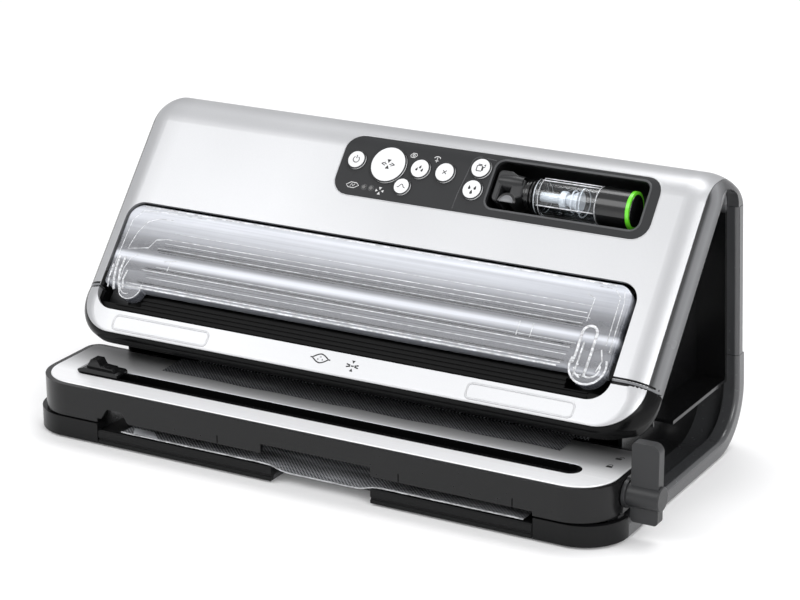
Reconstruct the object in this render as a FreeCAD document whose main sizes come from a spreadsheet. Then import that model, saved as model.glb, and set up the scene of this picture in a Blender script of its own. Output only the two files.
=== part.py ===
import FreeCAD, Part
import math
import os
import Sketcher
from FreeCAD import Placement, Rotation, Vector

# Countertop vacuum sealer: a C-shaped housing over a base with a film roll, a sliding cutter
# on a hinged platform, a clear window lid over the sealing chamber and a docked handheld sealer.
# X runs along the width, Y to the back, Z up; the origin is under the middle of the whole object.
# Pieces on the sloping front are drawn in slope axes: X, S up the slope, N out of it, with the
# origin at the upper edge of the nose trim.

SIZES = [
    # name, value, what it sets (millimetres, degrees)
    ("body_width", "406", "across the two side ribbons"),
    ("base_front", "-98", "front face of the base, before centring"),
    ("base_bottom", "1.5", "underside of the base above the table"),
    ("wall", "2.5", "housing wall"),
    ("seam", "0.3", "gap between neighbouring covers"),
    ("running_gap", "0.4", "gap between pieces that move on each other"),
    ("pin_gap", "0.08", "radial clearance of a pin in its bore"),
    ("slope_angle", "49.8", "tilt of the sloping front from level"),
    ("slope_y", "-43.4", "slope origin along Y"),
    ("slope_z", "69.5", "slope origin height"),
    ("slope_top", "134.2", "flat slope above the slope origin"),
    ("nose_drop", "19", "slope below the slope origin"),
    ("chin_depth", "11", "height of the chin face"),
    ("ridge_radius", "27", "rounded top ridge"),
    ("ridge_fade", "0.35", "share of the ridge behind which the side rounding narrows"),
    ("side_round", "20", "rounding of the slope into the sides"),
    ("rear_round", "3", "rounding of the back into the sides"),
    ("rear_lean", "5", "forward lean of the back"),
    ("rear_step", "60", "height of the seam across the back"),
    ("crown_seam_z", "158", "height of the seam between side bezel and back"),
    ("crown_seam_y", "78", "where the silver shell ends behind the ridge"),
    ("heel_radius", "36", "rounding of the back into the floor"),
    ("ribbon", "13.5", "width of the side ribbon on the slope"),
    ("rear_ribbon", "9.5", "width of the side ribbon at the back and along the floor"),
    ("ribbon_face", "7.5", "thickness of the side ribbon along X"),
    ("ribbon_soft", "3", "soft inner edge of the side ribbon at the back and the floor"),
    ("nose_corner", "34", "rounding of the nose corners"),
    ("nose_edge", "6", "rounding of the lower nose edge"),
    ("trim_bottom", "15", "nose trim below the slope origin"),
    ("trim_seam", "13.7", "seam between silver shell and nose trim, up the slope"),
    ("trim_gap", "1", "width of that seam"),
    ("trim_inner_corner", "14", "inner corner of the nose trim"),
    ("window_margin", "22", "window opening narrower than the body on each side"),
    ("window_middle", "-6.5", "middle of the window beside the middle of the body"),
    ("window_top", "75.4", "top of the window opening, up the slope"),
    ("window_corner", "12", "corner of the window opening"),
    ("recess_depth", "27", "face of the recessed side panel below the body's sides"),
    ("band_step", "2.5", "convex band below the ribbon's outer face"),
    ("band_depth", "32", "convex band, down from the slope"),
    ("band_round", "17", "rounding of the convex band into the recess"),
    ("belly_z", "42", "underside of the body behind the nose"),
    ("floor_thick", "3", "thickness of the base floor"),
    ("tray_start", "-69", "where the side rails start"),
    ("corner_round", "28", "front corner of the base in plan"),
    ("corner_top", "14.5", "top of the fixed lower base"),
    ("shelf_margin_left", "16.6", "film shelf beyond the film"),
    ("shelf_margin_right", "6.6", "film shelf beyond the film"),
    ("grip_left", "-20", "left side of the finger gap"),
    ("grip_right", "49", "right side of the finger gap"),
    ("grip_depth", "16", "depth of the finger gap"),
    ("shelf_top", "10.4", "film shelf surface at its front"),
    ("screw_radius", "2", "base screw"),
    ("foot_radius", "9", "rubber foot"),
    ("foot_inset", "30", "foot centre from the sides"),
    ("platform_gap", "3.5", "hinged cutter platform inside the body's sides"),
    ("platform_rear", "-26", "rear edge of the platform"),
    ("platform_rear_round", "8", "rear corners of the platform"),
    ("swing_gap", "5", "room behind the platform for its swing"),
    ("platform_low", "15.8", "lower edge of the platform skirt"),
    ("platform_top", "36.4", "upper rim of the platform skirt"),
    ("skirt_exit", "18.4", "lower edge of the skirt over the film shelf"),
    ("grip_top", "24.3", "top of the finger notch in the skirt"),
    ("plate_thick", "1.5", "silver plate"),
    ("plate_inset", "3.5", "silver plate inside the skirt"),
    ("plate_sink", "1", "depth the silver plate is let into the skirt"),
    ("platform_deck", "2", "top deck of the platform"),
    ("slot_inset_left", "23.5", "left end of the cutter slot inside the platform"),
    ("slot_inset_right", "28.5", "right end of the cutter slot inside the platform"),
    ("slot_y", "-71", "middle of the cutter slot"),
    ("slot_half", "4.6", "half width of the cutter slot"),
    ("track_lip", "1.7", "lip of the cutter track on the plate"),
    ("track_floor", "26", "underside of the cutter track"),
    ("slider_length", "30", "cutter slider"),
    ("slider_width", "12", "cutter slider head"),
    ("slider_rise", "8.5", "fin of the slider above the plate"),
    ("hinge_y", "-33", "platform hinge axis"),
    ("hinge_z", "22", "platform hinge axis height"),
    ("hinge_pin", "2.5", "radius of the hinge pin"),
    ("hinge_boss", "4.2", "boss round the hinge pin"),
    ("lever_y", "-66", "lever axis"),
    ("lever_z", "27.3", "lever axis height"),
    ("lever_barrel", "7.5", "radius of the lever barrel"),
    ("lever_stand", "4.3", "lever paddle beside the platform"),
    ("lever_width", "18.5", "lever barrel beyond that, along X"),
    ("lever_face", "1.4", "barrel end beyond the paddle"),
    ("lever_up", "33", "paddle above its axis"),
    ("lever_down", "15.8", "paddle below its axis"),
    ("lever_thick", "7", "paddle thickness"),
    ("shaft_radius", "3", "lever shaft"),
    ("cam_radius", "4.2", "locking cam on the lever shaft"),
    ("film_width", "279.4", "film roll"),
    ("film_middle", "9.3", "middle of the film path"),
    ("film_thick", "0.4", "film web, both layers"),
    ("roll_y", "50", "roll axis"),
    ("roll_z", "40", "roll axis height"),
    ("roll_radius", "26", "full film roll"),
    ("core_radius", "14", "cardboard core"),
    ("core_wall", "2", "cardboard core wall"),
    ("ramp_top_y", "14", "top of the film ramp"),
    ("ramp_top_z", "40", "height of the film ramp"),
    ("ramp_low_y", "-22", "foot of the film ramp"),
    ("ramp_low_z", "22", "height of the foot of the film ramp"),
    ("panel_left", "-47.5", "control panel"),
    ("panel_right", "168", "control panel"),
    ("panel_low", "102.6", "control panel, up the slope"),
    ("panel_high", "144.1", "control panel, up the slope"),
    ("panel_corner", "11", "control panel corner"),
    ("panel_thick", "3", "control panel"),
    ("dock_left", "58", "handheld dock"),
    ("dock_right", "161", "handheld dock"),
    ("dock_low", "108", "handheld dock, up the slope"),
    ("dock_high", "141", "handheld dock, up the slope"),
    ("dock_depth", "25", "handheld dock"),
    ("dock_corner", "6", "handheld dock corner"),
    ("button_rise", "1.2", "button face above the panel"),
    ("button_travel", "1", "button stroke"),
    ("handheld_s", "124.5", "handheld axis, up the slope"),
    ("handheld_n", "-9.5", "handheld axis depth"),
    ("handheld_radius", "12", "handheld cap"),
    ("reservoir_radius", "11.6", "clear reservoir"),
    ("chamber_depth", "27", "depth of the sealing chamber"),
    ("lid_gap", "3", "gap between window lid and opening"),
    ("lid_low", "16.2", "lower edge of the window lid"),
    ("lid_high", "73.2", "upper edge of the window lid"),
    ("lid_thick", "2.6", "wall of the window lid"),
    ("lid_depth", "8", "rim of the window lid below the slope"),
    ("lid_crown", "1.2", "window lid above the slope"),
    ("lid_corner", "10", "upper corners of the window lid"),
    ("lid_pivot_s", "20", "lid pivot, up the slope"),
    ("lid_pivot_n", "-4", "lid pivot depth"),
    ("lid_pin", "2", "radius of the lid pin"),
    ("lid_boss", "17", "pin boss inside the lid's ends"),
    ("button_gap", "0.15", "clearance round a button"),
    ("button_flange", "0.35", "flange that holds a button behind the panel"),
    ("light_radius", "1.3", "indicator light"),
    ("dock_wall", "1.6", "dock wall"),
    ("neck_left", "80", "where the handheld neck starts"),
    ("reservoir_left", "88", "left end of the clear reservoir"),
    ("reservoir_wall", "1.8", "wall of the clear reservoir"),
    ("cap_left", "131", "left end of the handheld cap"),
    ("cap_right", "150", "right end of the handheld cap"),
    ("bar_s", "36", "pressure bar, up the slope"),
    ("bar_n", "-9", "pressure bar depth"),
    ("bar_radius", "6", "pressure bar"),
    ("bar_inset", "16", "left end of the pressure bar inside the lid's end"),
    ("bar_inset_right", "6", "right end of the pressure bar inside the lid's end"),
    ("strip_inset", "15", "ends of the sealing strip inside the bar's ends"),
    ("lip_low", "0.6", "lower end of the bag lip, up the slope"),
    ("chassis_left", "-165", "plate that carries the pump"),
    ("chassis_right", "62", "plate that carries the pump"),
    ("chassis_low", "92", "plate that carries the pump"),
    ("chassis_high", "148", "plate that carries the pump"),
    ("chassis_front", "76", "front face of the chassis plate"),
    ("hose_y", "55", "where the hose meets the pump"),
    ("inlet_x", "-150", "power inlet"),
    ("inlet_z", "80", "power inlet height"),
]

LUGS = [
    # side, inset from the window's end, place up the slope, radius
    (-1, "23.5", "16.5", "8.7"),
    (1, "17", "20", "12.3"),
]

LIGHTS = [(-25.7, 109.1), (-20.6, 109.1)]  # X, S

BUTTONS = [
    # name, X, S, radius
    ("button_power", "-37", "126.4", "6.4"),
    ("button_vacuum_seal", "-14", "126.2", "12.4"),
    ("button_seal", "0", "113.2", "5.8"),
    ("button_moist", "8.4", "126.6", "6.8"),
    ("button_cancel", "25.8", "126.6", "6.9"),
    ("button_accessory", "48.8", "133", "6.9"),
    ("button_marinate", "47.6", "118.2", "6.8"),
]


class Dim:
    """A length kept as a number together with the sheet formula that it comes from."""

    def __init__(self, number, formula=None):
        self.number = float(number)
        self.formula = formula or repr(float(number))

    def __add__(self, other):
        other = dim(other)
        return Dim(self.number + other.number, f"({self.formula} + {other.formula})")

    def __sub__(self, other):
        other = dim(other)
        return Dim(self.number - other.number, f"({self.formula} - {other.formula})")

    def __mul__(self, other):
        other = dim(other)
        return Dim(self.number * other.number, f"({self.formula} * {other.formula})")

    def __truediv__(self, other):
        other = dim(other)
        return Dim(self.number / other.number, f"({self.formula} / {other.formula})")

    def __neg__(self):
        return Dim(0) - self

    def __rsub__(self, other):
        return dim(other) - self

    __radd__ = __add__
    __rmul__ = __mul__


class Sizes:
    """Every named size of the sheet as a Dim."""


def dim(value):
    return value if isinstance(value, Dim) else Dim(value)


def fill_sheet(doc):
    sheet = doc.addObject("Spreadsheet::Sheet", "sheet")
    rows = [(name, value) for name, value, _ in SIZES]
    for name, x, s, radius in BUTTONS:
        rows += [(name + "_x", x), (name + "_s", s), (name + "_radius", radius)]
    sizes = Sizes()
    for row, (name, value) in enumerate(rows, 1):
        sheet.set(f"A{row}", name)
        sheet.set(f"B{row}", value)
        sheet.setAlias(f"B{row}", name)
        setattr(sizes, name, Dim(value, "sheet." + name))
    doc.recompute()
    return sizes


doc = FreeCAD.newDocument("vacuum_sealer")
d = fill_sheet(doc)

half = d.body_width / 2
floor_top = d.base_bottom + d.floor_thick
platform_half = half - d.platform_gap
lever_out = platform_half + d.lever_stand + d.lever_width
plate_top = d.platform_top - d.plate_sink + d.plate_thick
slope_turn = math.radians(d.slope_angle.number)
rear_turn = math.radians(d.rear_lean.number)
film_left = d.film_middle - d.film_width / 2
film_right = d.film_middle + d.film_width / 2
shelf_left = film_left - d.shelf_margin_left
shelf_right = film_right + d.shelf_margin_right
slot_left = d.slot_inset_left - platform_half
slot_right = platform_half - d.slot_inset_right
recess_x = half - d.recess_depth
window_half = half - d.window_margin
lid_half = window_half - d.lid_gap
bar_half = lid_half - d.bar_inset
strip_half = bar_half - d.strip_inset
window_left = (d.window_middle - window_half).number
window_right = (d.window_middle + window_half).number
crown_start = (d.trim_seam + d.trim_gap).number


def slope_point(s, n):
    """Y and Z of a point given in slope axes."""
    y = d.slope_y.number + s * math.cos(slope_turn) - n * math.sin(slope_turn)
    z = d.slope_z.number + s * math.sin(slope_turn) + n * math.cos(slope_turn)
    return y, z


def ridge_centre():
    return slope_point(d.slope_top.number, -d.ridge_radius.number)


def ridge_point(share, inset=0, slide=0):
    """A point on the rounded ridge, a share of the way from the slope to the back."""
    centre_y, centre_z = slope_point(d.slope_top.number + slide, -d.ridge_radius.number)
    radius = d.ridge_radius.number - inset
    first = math.pi / 2 + slope_turn
    turn = first + (rear_turn - first) * share
    return centre_y + radius * math.cos(turn), centre_z + radius * math.sin(turn)


def rear_y(z, inset=0):
    """Y of the leaning back at height z, moved inwards by inset."""
    centre_y, centre_z = ridge_centre()
    radius = d.ridge_radius.number - inset
    start_y = centre_y + radius * math.cos(rear_turn)
    start_z = centre_z + radius * math.sin(rear_turn)
    return start_y + (start_z - z) * math.tan(rear_turn)


def heel_centre_y():
    z = d.base_bottom.number + d.heel_radius.number
    return rear_y(z) - d.heel_radius.number / math.cos(rear_turn)


SHIFT_X = (half - lever_out).number / 2
SHIFT_Y = -(heel_centre_y() + d.heel_radius.number + d.base_front.number) / 2
SHIFT = Vector(SHIFT_X, SHIFT_Y, 0)


# ---------------------------------------------------------------- drawing helpers

def new_body(label, on_slope=False, beside=None):
    """A body in frame axes or in slope axes, there with its own middle beside the body's."""
    body = doc.addObject("PartDesign::Body", label)
    body.Label = label
    if on_slope:
        turn = Rotation(Vector(1, 0, 0), d.slope_angle.number)
        spot = SHIFT + Vector(0, d.slope_y.number, d.slope_z.number)
        body.Placement = Placement(spot, turn)
        body.setExpression("Placement.Base.y", f"sheet.slope_y + {SHIFT_Y!r}")
        body.setExpression("Placement.Base.z", "sheet.slope_z")
        body.setExpression("Placement.Rotation.Angle", "sheet.slope_angle")
        if beside:
            body.setExpression("Placement.Base.x", f"{beside.formula} + {SHIFT_X!r}")
    else:
        body.Placement = Placement(SHIFT, Rotation())
    return body


def new_sketch(body, plane, level):
    """A sketch on one of the body's own planes, moved to a level along the global axis."""
    sketch = body.newObject("Sketcher::SketchObject", "outline")
    base = [f for f in body.Origin.OriginFeatures if f.Role == plane][0]
    sketch.AttachmentSupport = [(base, "")]
    sketch.MapMode = "FlatFace"
    level = -level if plane == "XZ_Plane" else level
    sketch.AttachmentOffset = Placement(Vector(0, 0, level.number), Rotation())
    sketch.setExpression("AttachmentOffset.Base.z", level.formula)
    return sketch


def bind(sketch, kind, geometry, point, value):
    index = sketch.addConstraint(Sketcher.Constraint(kind, -1, 1, geometry, point, value.number))
    sketch.setExpression(f"Constraints[{index}]", value.formula)


def corner_stops(corners):
    """For each corner the two places where its rounding starts and ends, and its radius."""
    stops = []
    for i, corner in enumerate(corners):
        u, v = dim(corner[0]), dim(corner[1])
        if len(corner) == 2:
            stops.append(((u, v), (u, v), None))
            continue
        radius = dim(corner[2])
        here = Vector(u.number, v.number, 0)
        ways = []
        for other in (corners[i - 1], corners[(i + 1) % len(corners)]):
            there = Vector(dim(other[0]).number, dim(other[1]).number, 0)
            ways.append((there - here).normalize())
        reach = 1 / math.tan(ways[0].getAngle(ways[1]) / 2)
        ends = [(u + radius * (way.x * reach), v + radius * (way.y * reach)) for way in ways]
        stops.append((ends[0], ends[1], radius))
    return stops


def draw_polygon(sketch, corners):
    """Closed outline over (u, v) corners; a corner with a third value is rounded by it."""
    stops = corner_stops(corners)
    lines = []
    for i, (_, leave, _) in enumerate(stops):
        enter = stops[(i + 1) % len(stops)][0]
        start = Vector(leave[0].number, leave[1].number, 0)
        end = Vector(enter[0].number, enter[1].number, 0)
        line = sketch.addGeometry(Part.LineSegment(start, end), False)
        lines.append(line)
        bind(sketch, "DistanceX", line, 1, leave[0])
        bind(sketch, "DistanceY", line, 1, leave[1])
        if stops[(i + 1) % len(stops)][2]:
            bind(sketch, "DistanceX", line, 2, enter[0])
            bind(sketch, "DistanceY", line, 2, enter[1])
    for i, (enter, leave, radius) in enumerate(stops):
        before, after = lines[i - 1], lines[i]
        if radius is None:
            sketch.addConstraint(Sketcher.Constraint("Coincident", before, 2, after, 1))
        else:
            draw_corner(sketch, before, after, corners[i], enter, leave, radius)


def draw_corner(sketch, before, after, corner, enter, leave, radius):
    """A tangent arc between the end of one line and the start of the next."""
    tip = Vector(dim(corner[0]).number, dim(corner[1]).number, 0)
    start = Vector(enter[0].number, enter[1].number, 0)
    end = Vector(leave[0].number, leave[1].number, 0)
    inward = ((start + end) / 2 - tip).normalize()
    centre = tip + inward * math.hypot(radius.number, tip.distanceToPoint(start))
    middle = centre - inward * radius.number
    number = sketch.addGeometry(Part.Arc(start, middle, end), False)
    turns_left = (start - centre).cross(end - centre).z > 0
    first, last = (1, 2) if turns_left else (2, 1)
    sketch.addConstraint(Sketcher.Constraint("Coincident", number, first, before, 2))
    sketch.addConstraint(Sketcher.Constraint("Coincident", number, last, after, 1))
    index = sketch.addConstraint(Sketcher.Constraint("Radius", number, radius.number))
    sketch.setExpression(f"Constraints[{index}]", radius.formula)


def draw_circle(sketch, u, v, radius):
    u, v, radius = dim(u), dim(v), dim(radius)
    centre = Vector(u.number, v.number, 0)
    circle = sketch.addGeometry(Part.Circle(centre, Vector(0, 0, 1), radius.number), False)
    bind(sketch, "DistanceX", circle, 3, u)
    bind(sketch, "DistanceY", circle, 3, v)
    index = sketch.addConstraint(Sketcher.Constraint("Radius", circle, radius.number))
    sketch.setExpression(f"Constraints[{index}]", radius.formula)


def draw(sketch, shapes):
    for shape in shapes:
        if shape[0] == "circle":
            draw_circle(sketch, *shape[1:])
        else:
            draw_polygon(sketch, shape)


def box_outline(u0, u1, v0, v1, low_round=None, high_round=None):
    """Rectangle with optional rounded corners at its low and high side."""
    low = () if low_round is None else (low_round,)
    high = () if high_round is None else (high_round,)
    return [(u0, v0, *low), (u1, v0, *low), (u1, v1, *high), (u0, v1, *high)]


def extrude(body, kind, plane, shapes, start, stop):
    start, stop = dim(start), dim(stop)
    if start.number > stop.number:
        start, stop = stop, start
    sketch = new_sketch(body, plane, start)
    draw(sketch, shapes)
    feature = body.newObject("PartDesign::" + kind, kind.lower())
    feature.Profile = sketch
    length = stop - start
    feature.Length = length.number
    feature.setExpression("Length", length.formula)
    feature.Reversed = (plane == "XZ_Plane") == (kind == "Pad")
    sketch.Visibility = False
    doc.recompute()
    return feature


def pad(body, plane, shapes, start, stop):
    return extrude(body, "Pad", plane, shapes, start, stop)


def cut(body, plane, shapes, start, stop):
    before = body.Shape.Volume
    feature = extrude(body, "Pocket", plane, shapes, start, stop)
    if body.Shape.Volume > before - 1e-6:
        raise ValueError(f"a pocket of {body.Label} removed nothing")
    return feature


def straight_edges(shape, axis, places):
    """Names of the straight edges along an axis that pass one of the given places."""
    others = [a for a in "xyz" if a != axis]
    found = []
    for number, edge in enumerate(shape.Edges, 1):
        box = edge.BoundBox
        low = {"x": box.XMin, "y": box.YMin, "z": box.ZMin}
        span = {"x": box.XLength, "y": box.YLength, "z": box.ZLength}
        if any(span[a] > 1e-3 for a in others) or span[axis] < 1e-3:
            continue
        for place in places:
            if all(abs(low[a] - dim(value).number) < 0.02 for a, value in zip(others, place)):
                found.append(f"Edge{number}")
                break
    return found


def add_fillet(body, radius, names):
    if not names:
        raise ValueError(f"no edge to round on {body.Label}")
    tip = body.Tip
    feature = body.newObject("PartDesign::Fillet", "fillet")
    feature.Base = (tip, names)
    feature.Radius = dim(radius).number
    feature.setExpression("Radius", dim(radius).formula)
    doc.recompute()


def soften(body, radius, axis, places):
    """Rounds the straight edges along an axis that pass the given places."""
    add_fillet(body, radius, straight_edges(body.Tip.Shape, axis, places))


def soften_face(body, radius, level, axis="z"):
    """Rounds every edge that lies in the plane at a level along an axis."""
    names = []
    for number, edge in enumerate(body.Tip.Shape.Edges, 1):
        box = edge.BoundBox
        low = {"x": box.XMin, "y": box.YMin, "z": box.ZMin}[axis]
        high = {"x": box.XMax, "y": box.YMax, "z": box.ZMax}[axis]
        if abs(low - dim(level).number) < 0.02 and abs(high - dim(level).number) < 0.02:
            names.append(f"Edge{number}")
    add_fillet(body, radius, names)


def cut_obround(body, x0, x1, y, radius, z0, z1):
    """Cuts a straight slot with round ends."""
    low, high = dim(y) - radius, dim(y) + radius
    cut(body, "XY_Plane", [box_outline(x0, x1, low, high)], z0, z1)
    cut(body, "XY_Plane", [("circle", x0, y, radius)], z0, z1)
    cut(body, "XY_Plane", [("circle", x1, y, radius)], z0, z1)


def pad_obround(body, x0, x1, y, radius, z0, z1):
    low, high = dim(y) - radius, dim(y) + radius
    pad(body, "XY_Plane", [box_outline(x0, x1, low, high)], z0, z1)
    pad(body, "XY_Plane", [("circle", x0, y, radius)], z0, z1)
    pad(body, "XY_Plane", [("circle", x1, y, radius)], z0, z1)


def rod(body, x0, x1, y, z, radius):
    """A round bar along X."""
    return pad(body, "YZ_Plane", [("circle", y, z, radius)], x0, x1)


def sculpted(label, shape):
    piece = doc.addObject("Part::Feature", label)
    piece.Label = label
    piece.Shape = shape
    piece.Placement = Placement(SHIFT, Rotation())
    return piece


# ---------------------------------------------------------------- sculpted housing

def face_point(x, place):
    return Vector(x, place[0], place[1])


def slope_prism(places, n0, n1):
    """A prism along the slope's normal over (x, s) corners."""
    points = [Vector(x, *slope_point(s, n0)) for x, s in places]
    face = Part.Face(Part.makePolygon(points + points[:1]))
    rise = n1 - n0
    return face.extrude(Vector(0, -rise * math.sin(slope_turn), rise * math.cos(slope_turn)))


def slope_box(x0, x1, s0, s1, n0, n1):
    return slope_prism([(x0, s0), (x1, s0), (x1, s1), (x0, s1)], n0, n1)


def slope_panel(x0, x1, s0, s1, n0, n1, low_corner, high_corner):
    """A prism on the slope over a rectangle with rounded lower and upper corners."""
    def place(x, s):
        return Vector(x, *slope_point(s, n0))

    corners = [
        (x0, s0, 1, 1, low_corner), (x1, s0, -1, 1, low_corner),
        (x1, s1, -1, -1, high_corner), (x0, s1, 1, -1, high_corner),
    ]
    edges, joins = [], []
    for number, (x, s, in_x, in_s, radius) in enumerate(corners):
        beside, along = place(x, s + in_s * radius), place(x + in_x * radius, s)
        enter, leave = (beside, along) if number % 2 == 0 else (along, beside)
        joins.append((enter, leave))
        if radius > 0:
            bulge = radius * (1 - math.sqrt(0.5))
            middle = place(x + in_x * bulge, s + in_s * bulge)
            edges.append(Part.Arc(enter, middle, leave).toShape())
    for number, (enter, leave) in enumerate(joins):
        following = joins[(number + 1) % len(joins)][0]
        if leave.distanceToPoint(following) > 1e-6:
            edges.append(Part.makeLine(leave, following))
    face = Part.Face(Part.Wire(Part.__sortEdges__(edges)))
    rise = n1 - n0
    return face.extrude(Vector(0, -rise * math.sin(slope_turn), rise * math.cos(slope_turn)))


def crown_section(inset, start, close_low, rear_inset):
    """Side outline: up the slope, over the ridge and down the leaning back, all moved inwards."""
    slide = (inset - rear_inset) / math.cos(slope_turn - rear_turn)
    fade = d.ridge_fade.number
    low = slope_point(start, -inset)
    ridge = [ridge_point(share, inset, slide) for share in (0, fade / 2, fade, (1 + fade) / 2, 1)]
    heel = (rear_y(close_low, rear_inset), close_low)
    front_low = (max(low[0], -20.0), close_low)
    return [low, *ridge, heel, front_low]


def crown_solid(inset, start, close_low, half_width, rear_inset=None):
    """The housing above the nose as a solid between plus and minus half_width."""
    if rear_inset is None:
        rear_inset = inset
    places = crown_section(inset, start, close_low, rear_inset)
    low, top, over, fade, behind, back, heel, front_low = [
        face_point(-half_width, place) for place in places]
    edges = [
        Part.makeLine(low, top),
        Part.Arc(top, over, fade).toShape(),
        Part.Arc(fade, behind, back).toShape(),
        Part.makeLine(back, heel),
        Part.makeLine(heel, front_low),
        Part.makeLine(front_low, low),
    ]
    return Part.Face(Part.Wire(edges)).extrude(Vector(2 * half_width, 0, 0))


def rounded(shape, choice):
    """The shape with edges rounded, each given as number, radius at its start and at its end."""
    blank = doc.addObject("Part::Feature", "blank")
    blank.Shape = shape
    fillet = doc.addObject("Part::Fillet", "fillet")
    fillet.Base = blank
    fillet.Edges = choice
    doc.recompute()
    result = fillet.Shape.copy()
    doc.removeObject(fillet.Name)
    doc.removeObject(blank.Name)
    return result


def round_crown(shape, side, rear):
    """Rounds the ends of the crown: side radius on the slope, fading to rear radius behind."""
    fade_y = ridge_point(d.ridge_fade.number)[0]
    choice = []
    for number, edge in enumerate(shape.Edges, 1):
        box = edge.BoundBox
        if box.XLength > 1e-6:
            continue
        if edge.Curve.TypeId == "Part::GeomCircle":
            if edge.CenterOfMass.y < fade_y:
                choice.append((number, side, side))
                continue
            forward = edge.valueAt(edge.FirstParameter).y < fade_y + 1
            choice.append((number, side, rear) if forward else (number, rear, side))
        elif box.ZMax > 150 and box.YMin < 0:
            choice.append((number, side, side))
        elif box.ZMax > 150:
            choice.append((number, rear, rear))
    return rounded(shape, choice)


def crown_zone(x0, x1, y0, y1, z0, z1):
    box = Part.makeBox(x1 - x0, y1 - y0, z1 - z0)
    box.translate(Vector(x0, y0, z0))
    return box


def housing_pieces(outer):
    """Silver shell, side bezels and back, cut from the rounded crown."""
    wall = d.wall.number
    width = half.number
    side = d.side_round.number
    seam = d.seam.number
    edge_x = width - d.ribbon_face.number
    step = d.rear_step.number
    far = 400.0
    start = crown_start
    inner = crown_solid(wall, -5, step - 30, edge_x - 9.5)
    deep = crown_solid(side * 0.38, -5, step - 30, far)
    hollow = inner.fuse(deep)
    skin = outer.cut(hollow)

    silver_zone = slope_box(-edge_x, edge_x, start, far, -far, far)
    front_of_crown = crown_zone(-far, far, -far, d.crown_seam_y.number, 0, far)
    behind_slope = slope_box(-far, far, -far, far, -far, -60)
    silver = skin.common(silver_zone).common(front_of_crown).cut(behind_slope)
    window = slope_panel(
        window_left, window_right, -40, d.window_top.number,
        -60, 20, 0, d.window_corner.number)
    panel_hole = slope_panel(
        d.panel_left.number - seam, d.panel_right.number + seam,
        d.panel_low.number - seam, d.panel_high.number + seam,
        -60, 20, d.panel_corner.number + seam, d.panel_corner.number + seam)
    silver = silver.cut(window).cut(panel_hole)

    ribbon = d.ribbon.number
    ring = outer.cut(crown_solid(ribbon, -20, step - 40, far, d.rear_ribbon.number))
    crown_z = d.crown_seam_z.number
    over_top = crown_zone(-far, far, -far, far, crown_z + seam, far)
    along_slope = slope_box(-far, far, start, far, -ribbon - 0.01, 20)
    bezel_zone = over_top.fuse(along_slope).cut(slope_box(-far, far, -far, start, -far, far))
    bezels = []
    for sign in (-1, 1):
        x0, x1 = sorted((sign * (edge_x + seam), sign * far))
        band = ring.common(crown_zone(x0, x1, -far, far, 0, far)).common(bezel_zone)
        behind = crown_zone(-far, far, d.crown_seam_y.number - 20, far, 0, crown_z + seam)
        bezels.append(band.cut(behind))

    back_zone = crown_zone(-far, far, d.crown_seam_y.number + seam, far, step + seam, far)
    back_wall = skin.common(back_zone)
    back_wall = back_wall.cut(crown_zone(-far, -edge_x, -far, far, crown_z, far))
    back_wall = back_wall.cut(crown_zone(edge_x, far, -far, far, crown_z, far))
    rear_start = d.crown_seam_y.number - 12
    below_crown = crown_zone(-far, far, rear_start, far, step + seam, crown_z)
    ends = crown_zone(-far, -edge_x, 0, far, 0, far).fuse(crown_zone(edge_x, far, 0, far, 0, far))
    flanges = soft_back_edge(ring.common(below_crown).common(ends))
    grow = seam
    hole = crown_zone(
        d.inlet_x.number - 14 - grow, d.inlet_x.number + 14 + grow, 60, far,
        d.inlet_z.number - 10 - grow, d.inlet_z.number + 10 + grow)
    back = back_wall.cut(hole).fuse(flanges).removeSplitter()
    return silver, bezels, back


def soft_back_edge(shape):
    """Rounds the inner edge of each side ribbon along the leaning back."""
    outside = half.number - 1.5
    edges = []
    for edge in shape.Edges:
        middle = edge.CenterOfMass
        inner = rear_y(middle.z) - d.rear_ribbon.number / math.cos(rear_turn)
        if edge.BoundBox.XLength < 0.01 and abs(middle.x) > outside and edge.Length > 20:
            if abs(middle.y - inner) < 0.2:
                edges.append(edge)
    return shape.makeFillet(d.ribbon_soft.number, edges)


def slope_depth(point):
    """How far a point lies along the slope's normal."""
    y = point.y - d.slope_y.number
    z = point.z - d.slope_z.number
    return -y * math.sin(slope_turn) + z * math.cos(slope_turn)


def slope_place(point):
    """How far a point lies up the slope."""
    y = point.y - d.slope_y.number
    z = point.z - d.slope_z.number
    return y * math.cos(slope_turn) + z * math.sin(slope_turn)


def nose_block():
    """The nose below the shell seam, with rounded corners and a rounded front rim."""
    width = half.number
    top = d.trim_seam.number
    body = slope_panel(
        -width, width, -d.nose_drop.number, top + 60, -60, 0, d.nose_corner.number, 0)
    body = body.common(slope_box(-300, 300, -300, top, -100, 100))
    return rounded(body, rim_choice(body, 0, width, d.side_round.number, d.nose_edge.number))


def rim_choice(body, level, width, side, low):
    """The rim of a nose at one depth: side radius at the sides, fading to low along the bottom."""
    choice = []
    for number, edge in enumerate(body.Edges, 1):
        depths = [abs(slope_depth(vertex.Point) - level) for vertex in edge.Vertexes]
        if max(depths) > 0.01:
            continue
        if edge.Curve.TypeId == "Part::GeomCircle":
            start = edge.valueAt(edge.FirstParameter)
            at_side = abs(abs(start.x) - width) < 1
            choice.append((number, side, low) if at_side else (number, low, side))
        elif edge.BoundBox.XLength < 1e-3:
            choice.append((number, side, side))
        elif slope_place(edge.CenterOfMass) < 0:
            choice.append((number, low, low))
    return choice


def nose_band():
    """The nose inside the convex band: what the band's rounding leaves of it."""
    width = band_x()
    inset = d.band_step.number
    body = slope_panel(
        -width, width, -d.nose_drop.number + inset / 2, d.trim_seam.number + 60,
        -d.band_depth.number, 20, d.nose_corner.number - inset, 0)
    body = body.common(slope_box(-300, 300, -300, d.trim_seam.number, -100, 100))
    return rounded(body, rim_choice(
        body, -d.band_depth.number, width, d.band_round.number, d.nose_edge.number))


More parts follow.
